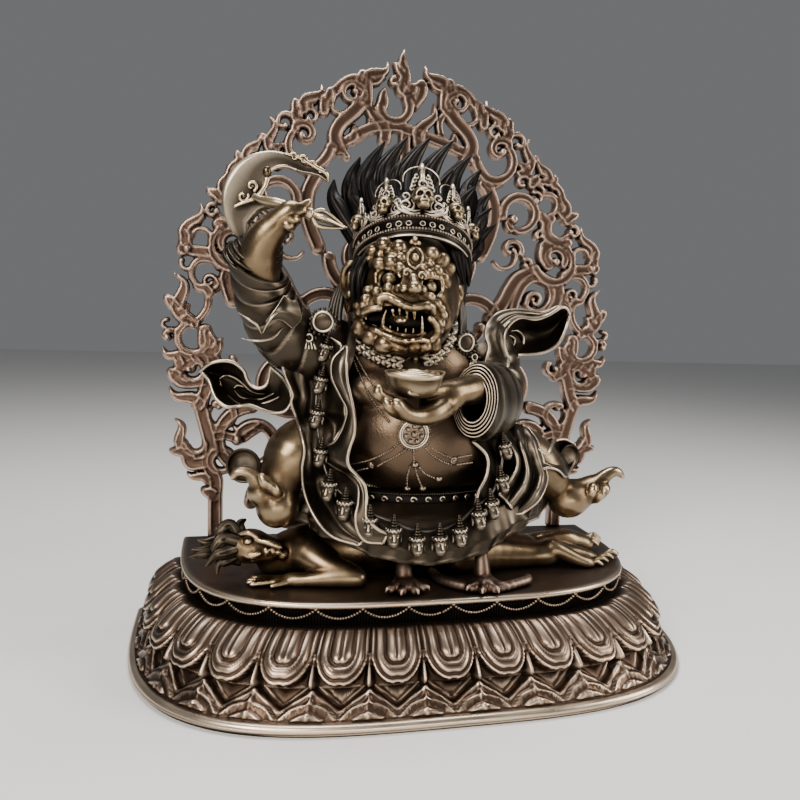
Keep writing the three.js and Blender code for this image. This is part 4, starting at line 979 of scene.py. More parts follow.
def skin_halo(depth, tall, left, low):
    """One corner in each cell that isn't outside, and a quad round each inner point."""
    inside = depth > 0
    cut = [slice(None, -1), slice(1, None)]
    corners = [(0, 0), (1, 0), (1, 1), (0, 1)]
    whole = [inside[cut[i], cut[j]] for i, j in corners]
    some = np.logical_or.reduce(whole)
    at = np.argwhere(some)
    total = np.zeros((len(at), 2))
    hits = np.zeros(len(at))
    for k in range(4):
        crossing, place = crossings(depth, at, corners[k], corners[(k + 1) % 4])
        total += place
        hits += crossing
    place = np.where(hits[:, None] > 0, total / np.maximum(hits, 1)[:, None], 0.5)
    x = left + (at[:, 0] + place[:, 0]) * HALO_STEP
    z = low + (at[:, 1] + place[:, 1]) * HALO_STEP
    mean_depth, mean_tall = (sum(field[tuple((at + c).T)] for c in corners) / 4 for field in (depth, tall))
    edge = np.clip(mean_depth / HALO_EDGE, 0, 1)
    round_edge = np.where(hits > 0, 0, np.sqrt(1 - (1 - edge) ** 2))
    front = HALO_FLAT + round_edge * (1.1 + mean_tall)
    number = np.full(some.shape, -1)
    number[some] = np.arange(len(at))
    nodes = np.argwhere(inside[1:-1, 1:-1]) + 1
    quad = np.stack([number[tuple((nodes - s).T)] for s in ((0, 0), (1, 0), (1, 1), (0, 1))], 1)
    edges = np.stack([quad, np.roll(quad, -1, 1)], -1).reshape(-1, 2)
    ahead = edges[:, 0].astype(np.int64) * len(at) + edges[:, 1]
    behind = edges[:, 1].astype(np.int64) * len(at) + edges[:, 0]
    rim = edges[~np.isin(ahead, behind)]
    lift = np.maximum(z + RISE, SEAT)
    points = np.concatenate([np.stack([x, FLAT_BACK - out, lift], 1) for out in (front, 0 * front)])
    n = len(at)
    walls = np.stack([rim[:, 1], rim[:, 0], rim[:, 0] + n, rim[:, 1] + n], 1)
    shown("halo_flames", (points, [quad, quad[:, ::-1] + n, walls]), COPPER, "flame_halo")


make_halo()


# The head, with places picked in the view of the face and a lift off its round form

# Round swellings over the brow, round the eyes and along the jaw: place, lift and radius
BROW_BALLS = [
    (285, 275, 0, 2.4), (385, 220, 0, 3.1), (515, 240, 0, 2.8), (350, 310, 0.5, 1.5),
    (430, 295, 0.5, 1.6), (300, 395, 1, 1.7), (358, 400, 1.5, 2.5), (452, 378, 1.5, 2.6),
    (525, 430, 1.5, 2.0), (530, 335, 0.5, 1.9), (470, 320, 0.5, 1.3), (800, 300, 0, 2.7),
    (890, 350, 0, 2.8), (955, 425, 0, 2.2), (785, 385, 0.5, 1.5), (875, 390, 0.5, 1.5),
    (835, 455, 1, 2.3), (765, 480, 1, 2.0), (895, 505, 0.5, 2.2), (935, 545, 0, 1.6),
    (250, 350, 0, 1.5), (720, 420, 0.8, 1.4),
]
CHEEK_BALLS = [
    (260, 620, 1.5, 2.2), (345, 625, 3, 2.0), (445, 600, 5, 2.1), (525, 606, 6, 1.8),
    (700, 640, 6, 1.5), (765, 668, 4, 1.8), (825, 722, 2.5, 1.9), (868, 765, 1.5, 1.8),
    (900, 825, 0.5, 1.7), (880, 900, 0.5, 1.7), (862, 960, 0.5, 1.7), (160, 745, 0.5, 1.8),
    (185, 800, 1.5, 1.6), (150, 850, 0.5, 1.6), (190, 895, 1.5, 1.8), (215, 740, 1, 1.5),
    (230, 680, 1, 1.7),
]
JAW_BALLS = [
    (190, 945, 1, 2.9), (300, 1000, 2, 3.3), (400, 1060, 2, 3.4), (505, 1070, 2.5, 2.1),
    (560, 1085, 2.5, 1.6), (720, 1068, 2.5, 2.4), (800, 1085, 1.5, 2.4), (812, 1025, 2, 1.7),
    (470, 1045, 2.5, 1.7), (760, 1110, 1, 1.8),
]
LIP_RIM = FACE.on(HEAD, [
    (372, 758, 3.4), (290, 772, 2.8), (222, 812, 1.8), (222, 880, 1.4), (270, 930, 2.2), (350, 935, 3.4),
    (430, 975, 3.6), (560, 1012, 4), (680, 1002, 4), (750, 1025, 3), (808, 985, 2.4), (828, 930, 1.8),
    (792, 870, 2.2), (762, 840, 3),
])
UPPER_LIP = FACE.on(HEAD, [
    (385, 735, 4.4), (378, 690, 5), (440, 668, 6), (510, 698, 7), (600, 738, 7.5), (690, 732, 7),
    (752, 740, 5.6), (782, 790, 4),
])
LOWER_LIP = FACE.on(HEAD, [(380, 905, 2), (450, 945, 3), (560, 985, 3.6), (660, 975, 3.6), (720, 960, 2.4)])
MOUTH_HOLLOW = FACE.on(HEAD, [(262, 850, 0.5), (400, 850, 0.5), (540, 870, 0.5), (680, 890, 0.5),
                              (780, 920, 0.5)])
LEFT_LID = FACE.on(HEAD, [(322, 545, 1), (345, 478, 3), (400, 438, 4.2), (450, 446, 4.6), (500, 462, 4.4),
                          (530, 510, 4)])
RIGHT_LID = FACE.on(HEAD, [(705, 530, 5), (740, 512, 4.6), (790, 515, 4), (840, 525, 3.2), (868, 570, 2),
                           (880, 620, 1)])
LEFT_EYE = FACE.on(HEAD, (440, 520, 0.5))
RIGHT_EYE = FACE.on(HEAD, (787, 588, 0.5))
NOSE_TIP = FACE.on(HEAD, (632, 600, 7))
NOSE_BRIDGE = FACE.on(HEAD, (628, 520, 4))
THIRD_EYE = FACE.on(HEAD, (650, 345, 1.5))
THIRD_EYE_RIM = FACE.on(HEAD, [
    (648, 440, 2), (598, 395, 1.6), (590, 320, 1.4), (622, 272, 1.2), (655, 252, 1.2), (692, 275, 1.2),
    (712, 330, 1.4), (698, 395, 1.6), (648, 440, 2),
])
BROW_CURLS = FACE.on(HEAD, [(580, 482, 4), (692, 506, 4)])
# Each tooth: its line from the root and its radius there
FANGS = [
    ([(402, 890, 4), (412, 820, 4.6), (432, 762, 4.4)], 1.0),
    ([(688, 960, 5), (690, 880, 5.4), (690, 815, 5)], 1.0),
    ([(478, 768, 5), (484, 815, 4.4)], 0.9), ([(528, 760, 5.6), (530, 800, 5)], 0.75),
    ([(580, 775, 6), (582, 822, 5)], 0.75), ([(632, 778, 6), (636, 840, 5)], 0.95),
    ([(455, 930, 3.6), (455, 895, 3.4)], 0.65), ([(510, 945, 4), (512, 905, 3.6)], 0.65),
    ([(570, 955, 4), (572, 915, 3.6)], 0.65), ([(628, 955, 4), (630, 915, 3.6)], 0.65),
]
GOATEE = FACE.on(HEAD, [
    [(600, 1140, 3), (575, 1165, 3), (580, 1200, 3), (605, 1185, 3)],
    [(650, 1150, 3.5), (640, 1190, 4), (600, 1235, 4.5), (580, 1250, 4)],
    [(650, 1150, 3.5), (665, 1190, 4), (700, 1230, 4.5), (725, 1245, 4)],
    [(690, 1140, 3), (715, 1165, 3), (712, 1205, 3), (690, 1190, 3)],
    [(645, 1165, 4), (640, 1205, 5), (632, 1240, 5), (645, 1262, 5)],
])
LEFT_EAR = FACE.at([(150, 398, 6), (95, 378, 4), (42, 430, 6), (26, 520, 8), (40, 610, 8), (70, 660, 4),
                    (85, 640, 2)])
LEFT_EAR_INNER = FACE.at([(125, 455, 3), (85, 470, 3), (82, 530, 4), (105, 580, 3), (90, 620, 3)])
RIGHT_EAR = FACE.at([(980, 592, 2), (1035, 585, 4), (1055, 640, 6), (1035, 710, 6), (990, 745, 4),
                     (955, 735, 0)])
RIGHT_EAR_INNER = FACE.at([(975, 640, 1), (1000, 660, 2), (985, 705, 2), (955, 715, 0)])
CHIN = FACE.on(HEAD, (648, 1085, 0))


def make_head():
    clay = Clay((-46, -42, 152), (22, 20, 222), 0.5)
    clay.ball(*HEAD)
    clay.ball((-14, -6, 172), (21, 20, 15), 5)
    clay.ball((-14, -16, 184), (19, 13, 13), 6)
    for x in (-30, -1):
        clay.ball((x, -18, 181 if x < -20 else 177), (8, 7, 8), 4)
    swellings = [
        (clay.land(FACE.on(HEAD, (x, y, out)), radius * lift)[0], radius * fuller)
        for group, lift, fuller in (
            (BROW_BALLS, 0.15, 1.38), (CHEEK_BALLS, 0.25, 1.15), (JAW_BALLS, 0.7, 1.55)
        )
        for x, y, out, radius in group
    ]
    curve = {
        "lids": [clay.land(smooth(lid, 19), 0.9) for lid in (LEFT_LID, RIGHT_LID)],
        "upper": clay.land(smooth(UPPER_LIP, 41), 1.0),
        "rim": clay.land(smooth(LIP_RIM, 61), 2.2 + 1.9 * bump(np.linspace(0, 1, 61), 0.25, 0.13)),
        "lower": clay.land(smooth(LOWER_LIP, 21), -0.6),
        "hollow": clay.land(smooth(MOUTH_HOLLOW, 17), 0.0),
        "third": clay.land(smooth(THIRD_EYE_RIM, 33), 0.7),
    }
    chin = clay.land(CHIN, 1.5)[0]
    third = clay.land(THIRD_EYE, 0.6)[0]
    for eye, radius in ((LEFT_EYE, 5.0), (RIGHT_EYE, 4.4)):
        clay.ball(eye, radius, 1.5, cut=True)
    for back, sizes in ((0, (3.4, 5.0, 5.9, 5.2, 3.8)), (7, (3.0, 5.6, 6.4, 5.6, 3.0))):
        clay.path(curve["hollow"] + vec(0.25 * back, back, 0), sizes, 1.2, cut=True, count=17)
    for eye, radius in ((LEFT_EYE, 3.5), (RIGHT_EYE, 3.1)):
        clay.ball(vec(*eye) + vec(0, 0.8, 0), radius, 0.3)
    for place, radius in swellings:
        clay.ball(place, radius, 1.7)
    for lid in curve["lids"]:
        clay.path(lid, (0.7, 1.2, 1.2, 0.7), 0.5, count=19)
    clay.ball(NOSE_TIP, (3.6, 3.6, 3.0), 1.5)
    clay.rod(NOSE_BRIDGE, NOSE_TIP, 2.2, 2.6, 1.5)
    for side in (-1, 1):
        wing = vec(*NOSE_TIP) + vec(side * 4.2, 2.4, -0.6)
        clay.ball(wing, (2.4, 2.6, 2.1), 0.8)
        clay.ball(wing + vec(-side * 0.6, -2.4, -1.6), (0.9, 1.4, 0.9), 0.5, cut=True)
    clay.ball(third, (2.0, 2.0, 2.3), 0.3)
    clay.path(curve["third"], (0.7, 0.7), 0.3, count=33)
    for dx, dz, size in ((-1.6, 7.4, 1.1), (0, 9, 1.3), (1.9, 7.0, 1.1), (0.1, 6.8, 1.0)):
        clay.ball(third + vec(dx, 1.6, dz), size, 0.4)
    for curl in BROW_CURLS:
        turn = np.linspace(0, 5.2, 18)
        out = 1.9 - 0.22 * turn
        spiral = [vec(*curl) + vec(math.cos(t) * r, 0, math.sin(t) * r) for t, r in zip(turn, out)]
        clay.path(spiral, (0.75, 0.6), 0.2, count=30)
        clay.ball(curl, 0.7, 0.2)
    clay.path(curve["upper"], (1.4, 2.2, 2.0, 1.9, 2.1, 1.3), 0.6, count=41)
    clay.path(curve["rim"], (1.4, 1.5, 1.7, 1.7, 1.4), 0.4, count=61)
    clay.path(curve["lower"], (0.8, 1.3, 0.8), 0.6, count=21)
    for fang, radius in FANGS:
        clay.path(FACE.on(HEAD, fang), (radius, 0.35), 0.3, count=6)
    tongue = [vec(-20, -18, 176), vec(-20.5, -24, 177), vec(-21, -27.5, 175.5)]
    clay.path(tongue, (4.4, 4.0, 2.6), 0.8, count=9, flat=0.5)
    clay.ball(chin, (3.2, 3.2, 3.9), 0.8)
    for lock in GOATEE:
        clay.path(lock, (1.3, 1.1, 0.8), 0.4, count=13)
    for ear in (LEFT_EAR, RIGHT_EAR):
        clay.path(ear, (1.3, 1.5, 1.6, 1.4), 0.8, count=25)
    for ear in (LEFT_EAR_INNER, RIGHT_EAR_INNER):
        clay.path(ear, (1.0, 1.1, 0.8), 0.8, count=17)
    clay.ball((-40.5, 9, 189), (2.2, 5, 11), 2)
    clay.ball((15.5, 8, 185), (2.2, 5, 9), 2)
    clay.above(152)
    cast("head", clay.skin(), SKIN)
    # A near-black tube closes the mouth hollow from behind: painted shade for the inside of the open mouth
    cast("mouth", pipe(curve["hollow"] + vec(1.5, 9.5, 0), (3.0, 5.0, 6.0, 5.4, 3.4), 16), BAND)


make_head()


# Belly, legs, arms and hands

def make_belly():
    clay = Clay((-62, -34, 56), (60, 58, 182), 0.9)
    clay.ball(*BELLY, 4)
    clay.ball(*CHEST, 6)
    clay.ball((-24, -4, 141), (17, 9, 10), 4)
    clay.ball((13, -4, 140), (16, 9, 10), 4)
    clay.ball((-3, 26, 112), (55, 26, 49), 6)
    clay.above(SLAB_TOP)
    cast("belly", clay.skin(), BARE, "mahakala_figure")
    return clay


def make_legs():
    clay = Clay((-108, -26, 62), (122, 30, 132), 0.8)
    clay.path([(-20, 20, 98), (-50, 10, 110), (-66, 2, 108), (-73, -3, 96)], (17, 16, 14, 9), 3, count=15)
    clay.path([(-73, -3, 98), (-75, -7, 88), (-76, -9, 82)], (9, 8, 8), 3)
    clay.ball((-75, -8, 84), (10, 10, 9.5), 3)
    clay.ball((-83, -9, 91), (7, 6.5, 6.4), 2.5)
    clay.path([(-84, -10, 95), (-89, -11, 101), (-94.5, -11, 101.5), (-97, -11, 98.5)],
              (4.2, 2.6, 2.0, 0.8), 1.2)
    for i, (x, z) in enumerate([(-77, 95), (-79.5, 97), (-82, 98.5)]):
        clay.path([(x + 2, -14, z - 5), (x, -17.5, z - 1), (x - 1.5, -17, z + 2.5)], (2.4, 2.1, 1.6), 0.8)
    clay.path([(18, 20, 96), (46, 10, 107), (62, 4, 101), (74, 3, 90)], (17, 15, 13, 8), 3, count=15)
    clay.ball((83, 4, 81), (11.5, 10.5, 10), 3)
    clay.ball((98, 3, 87), (7.5, 7, 6.5), 3)
    clay.rod((83, 4, 82), (98, 3, 87), 9, 6.5, 4)
    clay.path([(98, 2, 89), (104.5, 1.5, 95), (110, 1.5, 96.5), (114.6, 1.5, 93)], (4.6, 3.1, 2.2, 0.8), 1.2)
    clay.ball((100.5, -2, 87.5), (4.2, 3.8, 3.6), 1.5)
    for x, z in ((92, 88), (96.5, 86)):
        clay.path([(x, -2, z - 4), (x + 1, -4.4, z - 1), (x + 2, -4, z + 2)], (2.2, 1.9, 1.3), 1.6)
    cast("legs", clay.skin(), SKIN)
    return clay


# The raised hand's palm and fingers: each one's line, radii and how softly it joins
RAISED_FINGERS = [
    ([(780, 790, -14), (850, 740, -15), (900, 690, -16)], (5.0, 4.8, 4.0), 2),
    ([(900, 680, -16), (985, 660, -17), (1070, 605, -17)], (2.4, 1.9, 1.3), 1),
    ([(880, 700, -17), (950, 700, -18), (1010, 690, -17), (985, 740, -15)], (2.3, 2.0, 1.9, 1.4), 0.8),
    ([(850, 760, -17), (900, 780, -19), (950, 790, -17), (920, 830, -14)], (2.3, 2.0, 1.9, 1.4), 0.8),
    ([(820, 800, -17), (860, 840, -19), (900, 850, -17), (880, 890, -14)], (2.2, 1.9, 1.8, 1.3), 0.8),
    ([(800, 760, -14), (820, 690, -15), (870, 650, -16), (930, 640, -17)], (2.8, 2.4, 2.2, 1.6), 1),
]


def make_right_arm():
    clay = Clay((-102, -26, 180), (-50, 8, 246), 0.55)
    forearm = [(-84, -4, 192), (-86, -8, 203), (-82, -12, 213), (-75, -14, 220)]
    clay.path(forearm, (8.2, 9.0, 7.0, 4.8), 2, count=15)
    for line, radii, blend in RAISED_FINGERS:
        clay.path(RAISED_HAND.at(line), radii, blend, count=9)
    cast("right_arm", clay.skin(), SKIN)


# The lower hand's thumb and a swelling on it
THUMB = LOWER_HAND.at([(1060, 500, -34), (950, 510, -40), (860, 515, -46), (780, 518, -50)])
THUMB_SWELLING = LOWER_HAND.at((880, 480, -47))
# The lower hand's fingers and palm: each one's line, radii, how softly it joins and its steps
LOWER_FINGERS = [
    ([(1040, 600, -36), (960, 660, -42), (860, 690, -46), (760, 670, -50), (700, 610, -53),
      (680, 590, -53)], (5.4, 4.8, 3.6, 3.0, 2.4, 1.4), 1.5, 19),
    ([(800, 680, -44), (700, 660, -49), (640, 620, -52), (610, 570, -52)], (3.2, 2.6, 2.2, 1.2), 1.2, 13),
    ([(760, 640, -42), (640, 580, -46), (560, 530, -48), (560, 480, -48)], (3.2, 2.6, 2.2, 1.2), 1.2, 13),
    ([(1080, 560, -33), (1000, 600, -36), (900, 610, -38)], (6.2, 5.4, 4.2), 2, 9),
]


def make_left_hand():
    clay = Clay((-44, -62, 120), (40, 0, 160), 0.55)
    forearm = [(34, -6, 143), (20, -22, 144), (8, -31, 143), (0, -35, 142)]
    clay.path(forearm, (8.5, 7.4, 6.0, 5.4), 2, count=13)
    clay.path(THUMB, (4.4, 2.8, 2.3, 1.2), 1.4, count=13)
    clay.ball(THUMB_SWELLING, (1.9, 1.6, 1.3), 0.8)
    for line, radii, blend, count in LOWER_FINGERS:
        clay.path(LOWER_HAND.at(line), radii, blend, count=count)
    cast("left_hand", clay.skin(), SKIN)


body_clay = make_belly()
legs_clay = make_legs()
make_right_arm()
make_left_hand()


# Crown, hair and ear ornaments

CROWN_CENTRE = (-8, 8, 205)
CROWN_RADIUS = 29.2
CROWN_BAND = 9
CROWN_TURN = spin("y", 5) @ spin("x", -26)
# Each leaf of the crown: its angle from the middle and its size
CROWN_LEAVES = [(-78, 0.85), (-41, 0.95), (-6, 1.22), (28, 0.95), (63, 0.85)]


def on_crown(form):
    return turned(form, CROWN_TURN, CROWN_CENTRE)


def ring_points(radius, z, count=120):
    angle = np.linspace(0, 2 * math.pi, count)
    return np.stack([np.sin(angle) * radius, -np.cos(angle) * radius, np.full(count, float(z))], 1)


def curl(centre, radius, turns, thick, start=0.0, side=1, count=36):
    """A flat spiral that faces the front and ends in a small ball."""
    t = np.linspace(0, 1, count)
    angle = start + side * turns * 2 * math.pi * t
    out = radius * (1 - 0.82 * t)
    path = np.stack([centre[0] + np.cos(angle) * out, np.full(count, float(centre[1])),
                     centre[2] + np.sin(angle) * out], 1)
    return joined([pipe(path, (thick, thick * 0.7), 8), globe(path[-1], (thick * 1.3,) * 3, 5, 8)])


def skull_form():
    clay = Clay((-5.5, -6, -7), (5.5, 5, 6), 0.36)
    clay.ball((0, 0, 0.8), (4.4, 4.6, 4.3))
    clay.ball((0, -1.8, -2.6), (2.9, 2.9, 2.4), 1.2)
    clay.ball((0, -2.2, -4.4), (2.4, 2.2, 1.3), 0.6)
    for side in (-1, 1):
        clay.ball((side * 1.75, -4.2, -0.1), (1.3, 1.9, 1.25), 0.3, cut=True)
        clay.ball((side * 3.0, -2.6, -1.9), (1.1, 1.4, 0.8), 0.6)
    clay.ball((0, -4.8, -2.1), (0.6, 1.2, 0.9), 0.2, cut=True)
    clay.rod((-2, -4.4, -3.7), (2, -4.4, -3.7), 0.28, 0.28, 0.2, cut=True)
    for x in (-1.2, -0.4, 0.4, 1.2):
        clay.rod((x, -4.6, -3.3), (x, -4.5, -4.6), 0.16, 0.16, 0.1, cut=True)
    return clay.skin()


def make_crown():
    rows = [(0.93, -2.2), (0.965, -2.2), (0.985, -1.4), (0.985, 0.0), (1.0, 0.4), (1.005, 1.2), (0.99, 1.8),
            (0.992, 6.6),
            (1.012, 7.2), (1.02, 8.0), (1.01, 8.8), (0.95, CROWN_BAND + 0.4), (0.85, CROWN_BAND)]
    field = np.array([ring_points(CROWN_RADIUS * share, z, count=97)[:-1] for share, z in rows])
    band = grid(field, close_u=True)
    cast("crown_band", on_crown(band), BLACK)
    rim = [beads(ring_points(CROWN_RADIUS * 1.02, 1.3), 0.72, 1.5, 5, 8),
           beads(ring_points(CROWN_RADIUS * 1.035, 7.9), 0.72, 1.5, 5, 8),
           pipe(ring_points(CROWN_RADIUS * 0.985, -1.9), (0.5, 0.5), 10)]
    cast("crown_beads", on_crown(joined(rim)), PALE)
    trim = []
    for middle in (-128, -96, -64, -32, 0, 32, 64, 96, 128):
        for step in (-9.5, 0, 9.5):
            angle = math.radians(middle + step + 4)
            at = vec(math.sin(angle), -math.cos(angle), 0) * CROWN_RADIUS * 1.005 + vec(0, 0, 4.3)
            t = round_angles(14)
            size = 1.2 if step else 1.4
            loop = np.stack([np.cos(t) * size, 0 * t, np.sin(t) * size], 1)
            trim.append(turned(pipe(loop, (0.32, 0.32), 6, closed=True), spin("z", math.degrees(angle)), at))
            trim.append(globe(at, (0.5, 0.5, 0.5), 4, 7))
    skull = skull_form()
    bones = []
    for degrees, size in CROWN_LEAVES:
        angle = math.radians(degrees)
        turn = spin("z", degrees)
        base = vec(math.sin(angle), -math.cos(angle), 0) * (CROWN_RADIUS * 1.0) + vec(0, 0, CROWN_BAND)

        def stand(form):
            return turned(form, turn, base, size)
        bones.append(stand(turned(skull, None, (0, -1.6, 6.4))))
        leaf = [globe((0, 1.4, 4.6), (7.2, 1.3, 5.6), 8, 16), globe((0, 1.4, 13), (3.2, 1.2, 6), 8, 12)]
        for side in (-1, 1):
            leaf.append(curl((side * 6.2, -0.6, 3.6), 3.3, 1.5, 0.62, 2.2 if side > 0 else 0.9, side))
            leaf.append(curl((side * 6.6, -0.2, 8.0), 2.0, 1.2, 0.5, -1.6, -side, 24))
            for k, (x, z) in enumerate([(3.9, 11.6), (3.4, 13.6), (2.9, 15.6), (2.1, 17.4)]):
                leaf.append(curl((side * x, -0.4, z), 1.15, 1.0, 0.42, 1.57, -side, 16))
            rim = [(side * 1.0, -0.4, 0.6), (side * 4.6, -0.6, -0.2), (side * 9.2, -0.4, 1.6),
                   (side * 10.4, 0.0, 5.0)]
            leaf.append(pipe(smooth(rim, 20), (0.5, 0.6, 0.35), 7))
            leaf.append(pipe(smooth([(x * 0.86, y - 0.3, z + 1.3) for x, y, z in rim], 20), (0.4, 0.5, 0.3),
                             7))
        leaf.append(curl((0, -0.9, 13.6), 2.4, 1.4, 0.6, -1.57, 1, 30))
        leaf.append(pipe([(0, 0, 16), (0, -0.2, 19), (0, 0, 21.5), (0, 0, 24)], (1.3, 1.1, 1.5, 0.9), 8))
        leaf.append(globe((0, 0, 20.6), (1.6, 1.4, 1.2), 6, 9))
        trim.append(stand(joined(leaf)))
        if abs(degrees) < 60:
            hoop = [(math.cos(t) * 7.5, 1.8, 17.5 + math.sin(t) * 6.5) for t in np.linspace(-0.2, 3.34, 24)]
            trim.append(stand(pipe(np.array(hoop), (0.28, 0.28), 6)))
    cast("crown_skulls", on_crown(joined(bones)), GOLD)
    cast("crown_trim", on_crown(joined(trim)), TRIM)


# Each lock of hair: where it leaves the head, how far it bellies, its tip and its width
HAIR_LOCKS = [
    ((-30, 22, 212), (-42, 32, 232), (-45, 39, 249), 5.5),
    ((-27, 22, 216), (-35, 34, 240), (-31, 41, 262), 6.5),
    ((-22, 22, 220), (-28, 36, 246), (-17, 44, 272), 7),
    ((-15, 22, 222), (-18, 38, 250), (-4, 46, 276), 7.5),
    ((-8, 22, 223), (-7, 38, 250), (9, 46, 277), 7.5), ((0, 22, 223), (5, 38, 250), (22, 46, 276), 7.5),
    ((8, 22, 221), (17, 36, 246), (33, 45, 269), 7), ((14, 22, 218), (27, 33, 240), (38, 43, 261), 6.5),
    ((18, 22, 213), (33, 32, 230), (44, 40, 249), 6), ((18, 24, 206), (33, 34, 216), (47, 40, 231), 5),
    ((-28, 18, 214), (-34, 22, 231), (-38, 24, 246), 4.5),
    ((-20, 16, 219), (-25, 24, 238), (-24, 29, 256), 5),
    ((-12, 14, 222), (-15, 24, 242), (-11, 30, 260), 5), ((-3, 14, 223), (-2, 24, 243), (5, 30, 262), 5),
    ((6, 14, 221), (10, 24, 240), (18, 30, 257), 5), ((13, 16, 217), (21, 24, 233), (31, 30, 249), 5),
    ((17, 18, 211), (28, 24, 222), (40, 28, 238), 4.5),
]


# Locks that hang from under the crown over the temples, with their widths
TEMPLE_LOCKS = [
    (CROWN_RIGHT.at([(592, 1215, -7), (628, 1330, -12), (650, 1420, -12), (662, 1480, -10)]), 3.0),
    (CROWN_RIGHT.at([(640, 1230, -2), (666, 1340, -6), (684, 1430, -6), (690, 1490, -3)]), 3.2),
    (CROWN_LEFT.at([(1400, 1300, -6), (1354, 1390, -11), (1335, 1490, -12), (1350, 1600, -10)]), 2.8),
    (CROWN_LEFT.at([(1350, 1330, 0), (1312, 1420, -4), (1300, 1520, -5), (1310, 1620, -3)]), 2.8),
]


def grooved_lock(path, width, facing, grooves=9, flat=0.62):
    """A flattened lock that tapers to its tip, with grooves along it."""
    along = frames(path)[0]
    angle = round_angles(36)
    share = np.linspace(0, 1, len(path))
    wide = width * (1 - share ** 1.7) + 0.4
    groove = 1 + 0.15 * np.cos(grooves * angle + width)
    across = unit(np.cross(np.broadcast_to(vec(*facing), path.shape), along))
    up = unit(np.cross(across, along))
    ring = np.cos(angle)[None, :, None] * across[:, None] + np.sin(angle)[None, :, None] * up[:, None] * flat
    return grid(path[:, None] + ring * (wide[:, None] * groove[None, :])[..., None], close_u=True)


def make_hair():
    locks = []
    for root, belly, tip, width in HAIR_LOCKS:
        path = smooth([root, belly, (vec(*belly) + vec(*tip)) / 2 + vec(-2.2, 1, 0), tip], 34)
        locks.append(grooved_lock(path, width, (0, 1, 0)))
    for path, width in TEMPLE_LOCKS:
        locks.append(grooved_lock(smooth(path, 26), width, (0, 1, 0), 7))
    clay = Clay((-42, 4, 166), (30, 46, 246), 1.1)
    clay.ball((-6, 22, 205), (33, 20, 36), 3)
    clay.ball((-6, 26, 186), (32, 16, 24), 4)
    points, faces = clay.skin()
    ripple = 0.55 * np.cos(points[:, 0] * 1.9 + points[:, 2] * 0.25)
    away = unit(points - vec(-6, 22, 205))
    locks.append((points + away * ripple[:, None], faces))
    for side, x in ((-1, -41), (1, 16)):
        for k in range(4):
            strand = [(x - side * 1.5, 10 + 2 * k, 200 - k), (x + side * (2 + k), 11 + 2 * k, 188),
                      (x + side * (3.5 + k * 1.4), 10 + 2 * k, 174),
                      (x + side * (1 + k * 1.6), 6 + 2 * k, 163)]
            locks.append(pipe(smooth(strand, 22), (1.0, 1.5, 0.8), 8))
    cast("hair", joined(locks), BLACK)


# The ear ornaments: centre, tilt and size
EAR_ORNAMENTS = ((LEFT_OF_FACE.at((812, 885, -5)), -14, 1.0), (FACE.at((1100, 1070, -2)), 14, 0.92))


def make_ear_ornaments():
    forms, plates = [], []
    for centre, tilt, size in EAR_ORNAMENTS:
        parts = []
        t = round_angles(40)
        circle = lambda r: np.stack([np.cos(t) * r, 0 * t, np.sin(t) * r], 1)
        parts.append(pipe(circle(4.7), (0.75, 0.75), 8, closed=True))
        parts.append(beads(np.concatenate([circle(6.4), circle(6.4)[:1]]), 0.85, 2.35, 5, 7))
        flower = vec(-6.6 if tilt < 0 else 5.5, -0.4, -8.0)
        parts.append(turned(pipe(circle(1.7), (0.5, 0.5), 6, closed=True), None, flower))
        for k in range(8):
            a = k * math.pi / 4
            petal = flower + vec(math.cos(a) * 3.3, 0, math.sin(a) * 3.3)
            parts.append(globe(petal, (0.95, 0.8, 0.95), 5, 7))
        parts.append(globe(flower + vec(0, -0.3, 0), (0.8, 0.8, 0.8), 5, 7))
        for k in range(5):
            parts.append(pipe([flower + vec(k - 2, 0, -2), flower + vec((k - 2) * 1.7, -0.3, -5.4)],
                              (0.45, 0.7), 6))
        forms.append(turned(joined(parts), spin("z", tilt), centre, size))
        plates.append(turned(globe((0, 0.6, 0), (4.9, 1.0, 4.9), 8, 24), spin("z", tilt), centre, size))
    cast("ear_ornaments", joined(forms), TRIM)
    cast("ear_plates", joined(plates), CLOTH)


make_crown()
make_hair()
make_ear_ornaments()


# Sleeves, robe, skirt and scarves

def sheet_form(field, thick, rim):
    """A cast sheet of cloth through a field of points, with a rolled rim along its edges."""
    normal = unit(np.cross(np.gradient(field, axis=1), np.gradient(field, axis=0)))
    front, back = field + normal * thick / 2, field - normal * thick / 2
    forms = [grid(front), (grid(back)[0], grid(back)[1][:, ::-1])]
    for border in (field[0], field[:, -1], field[-1], field[:, 0]):
        forms.append(pipe(border, (rim, rim), 8))
    return joined(forms)


# Folds of the raised sleeve
RAISED_SLEEVE_FOLDS = [
    [(400, 915, -11), (520, 990, -14), (600, 1050, -14), (645, 1140, -12)],
    [(880, 860, -14), (740, 980, -16), (655, 1130, -13)],
    [(430, 1185, -9), (600, 1212, -12), (760, 1180, -11), (860, 1080, -9)],
]


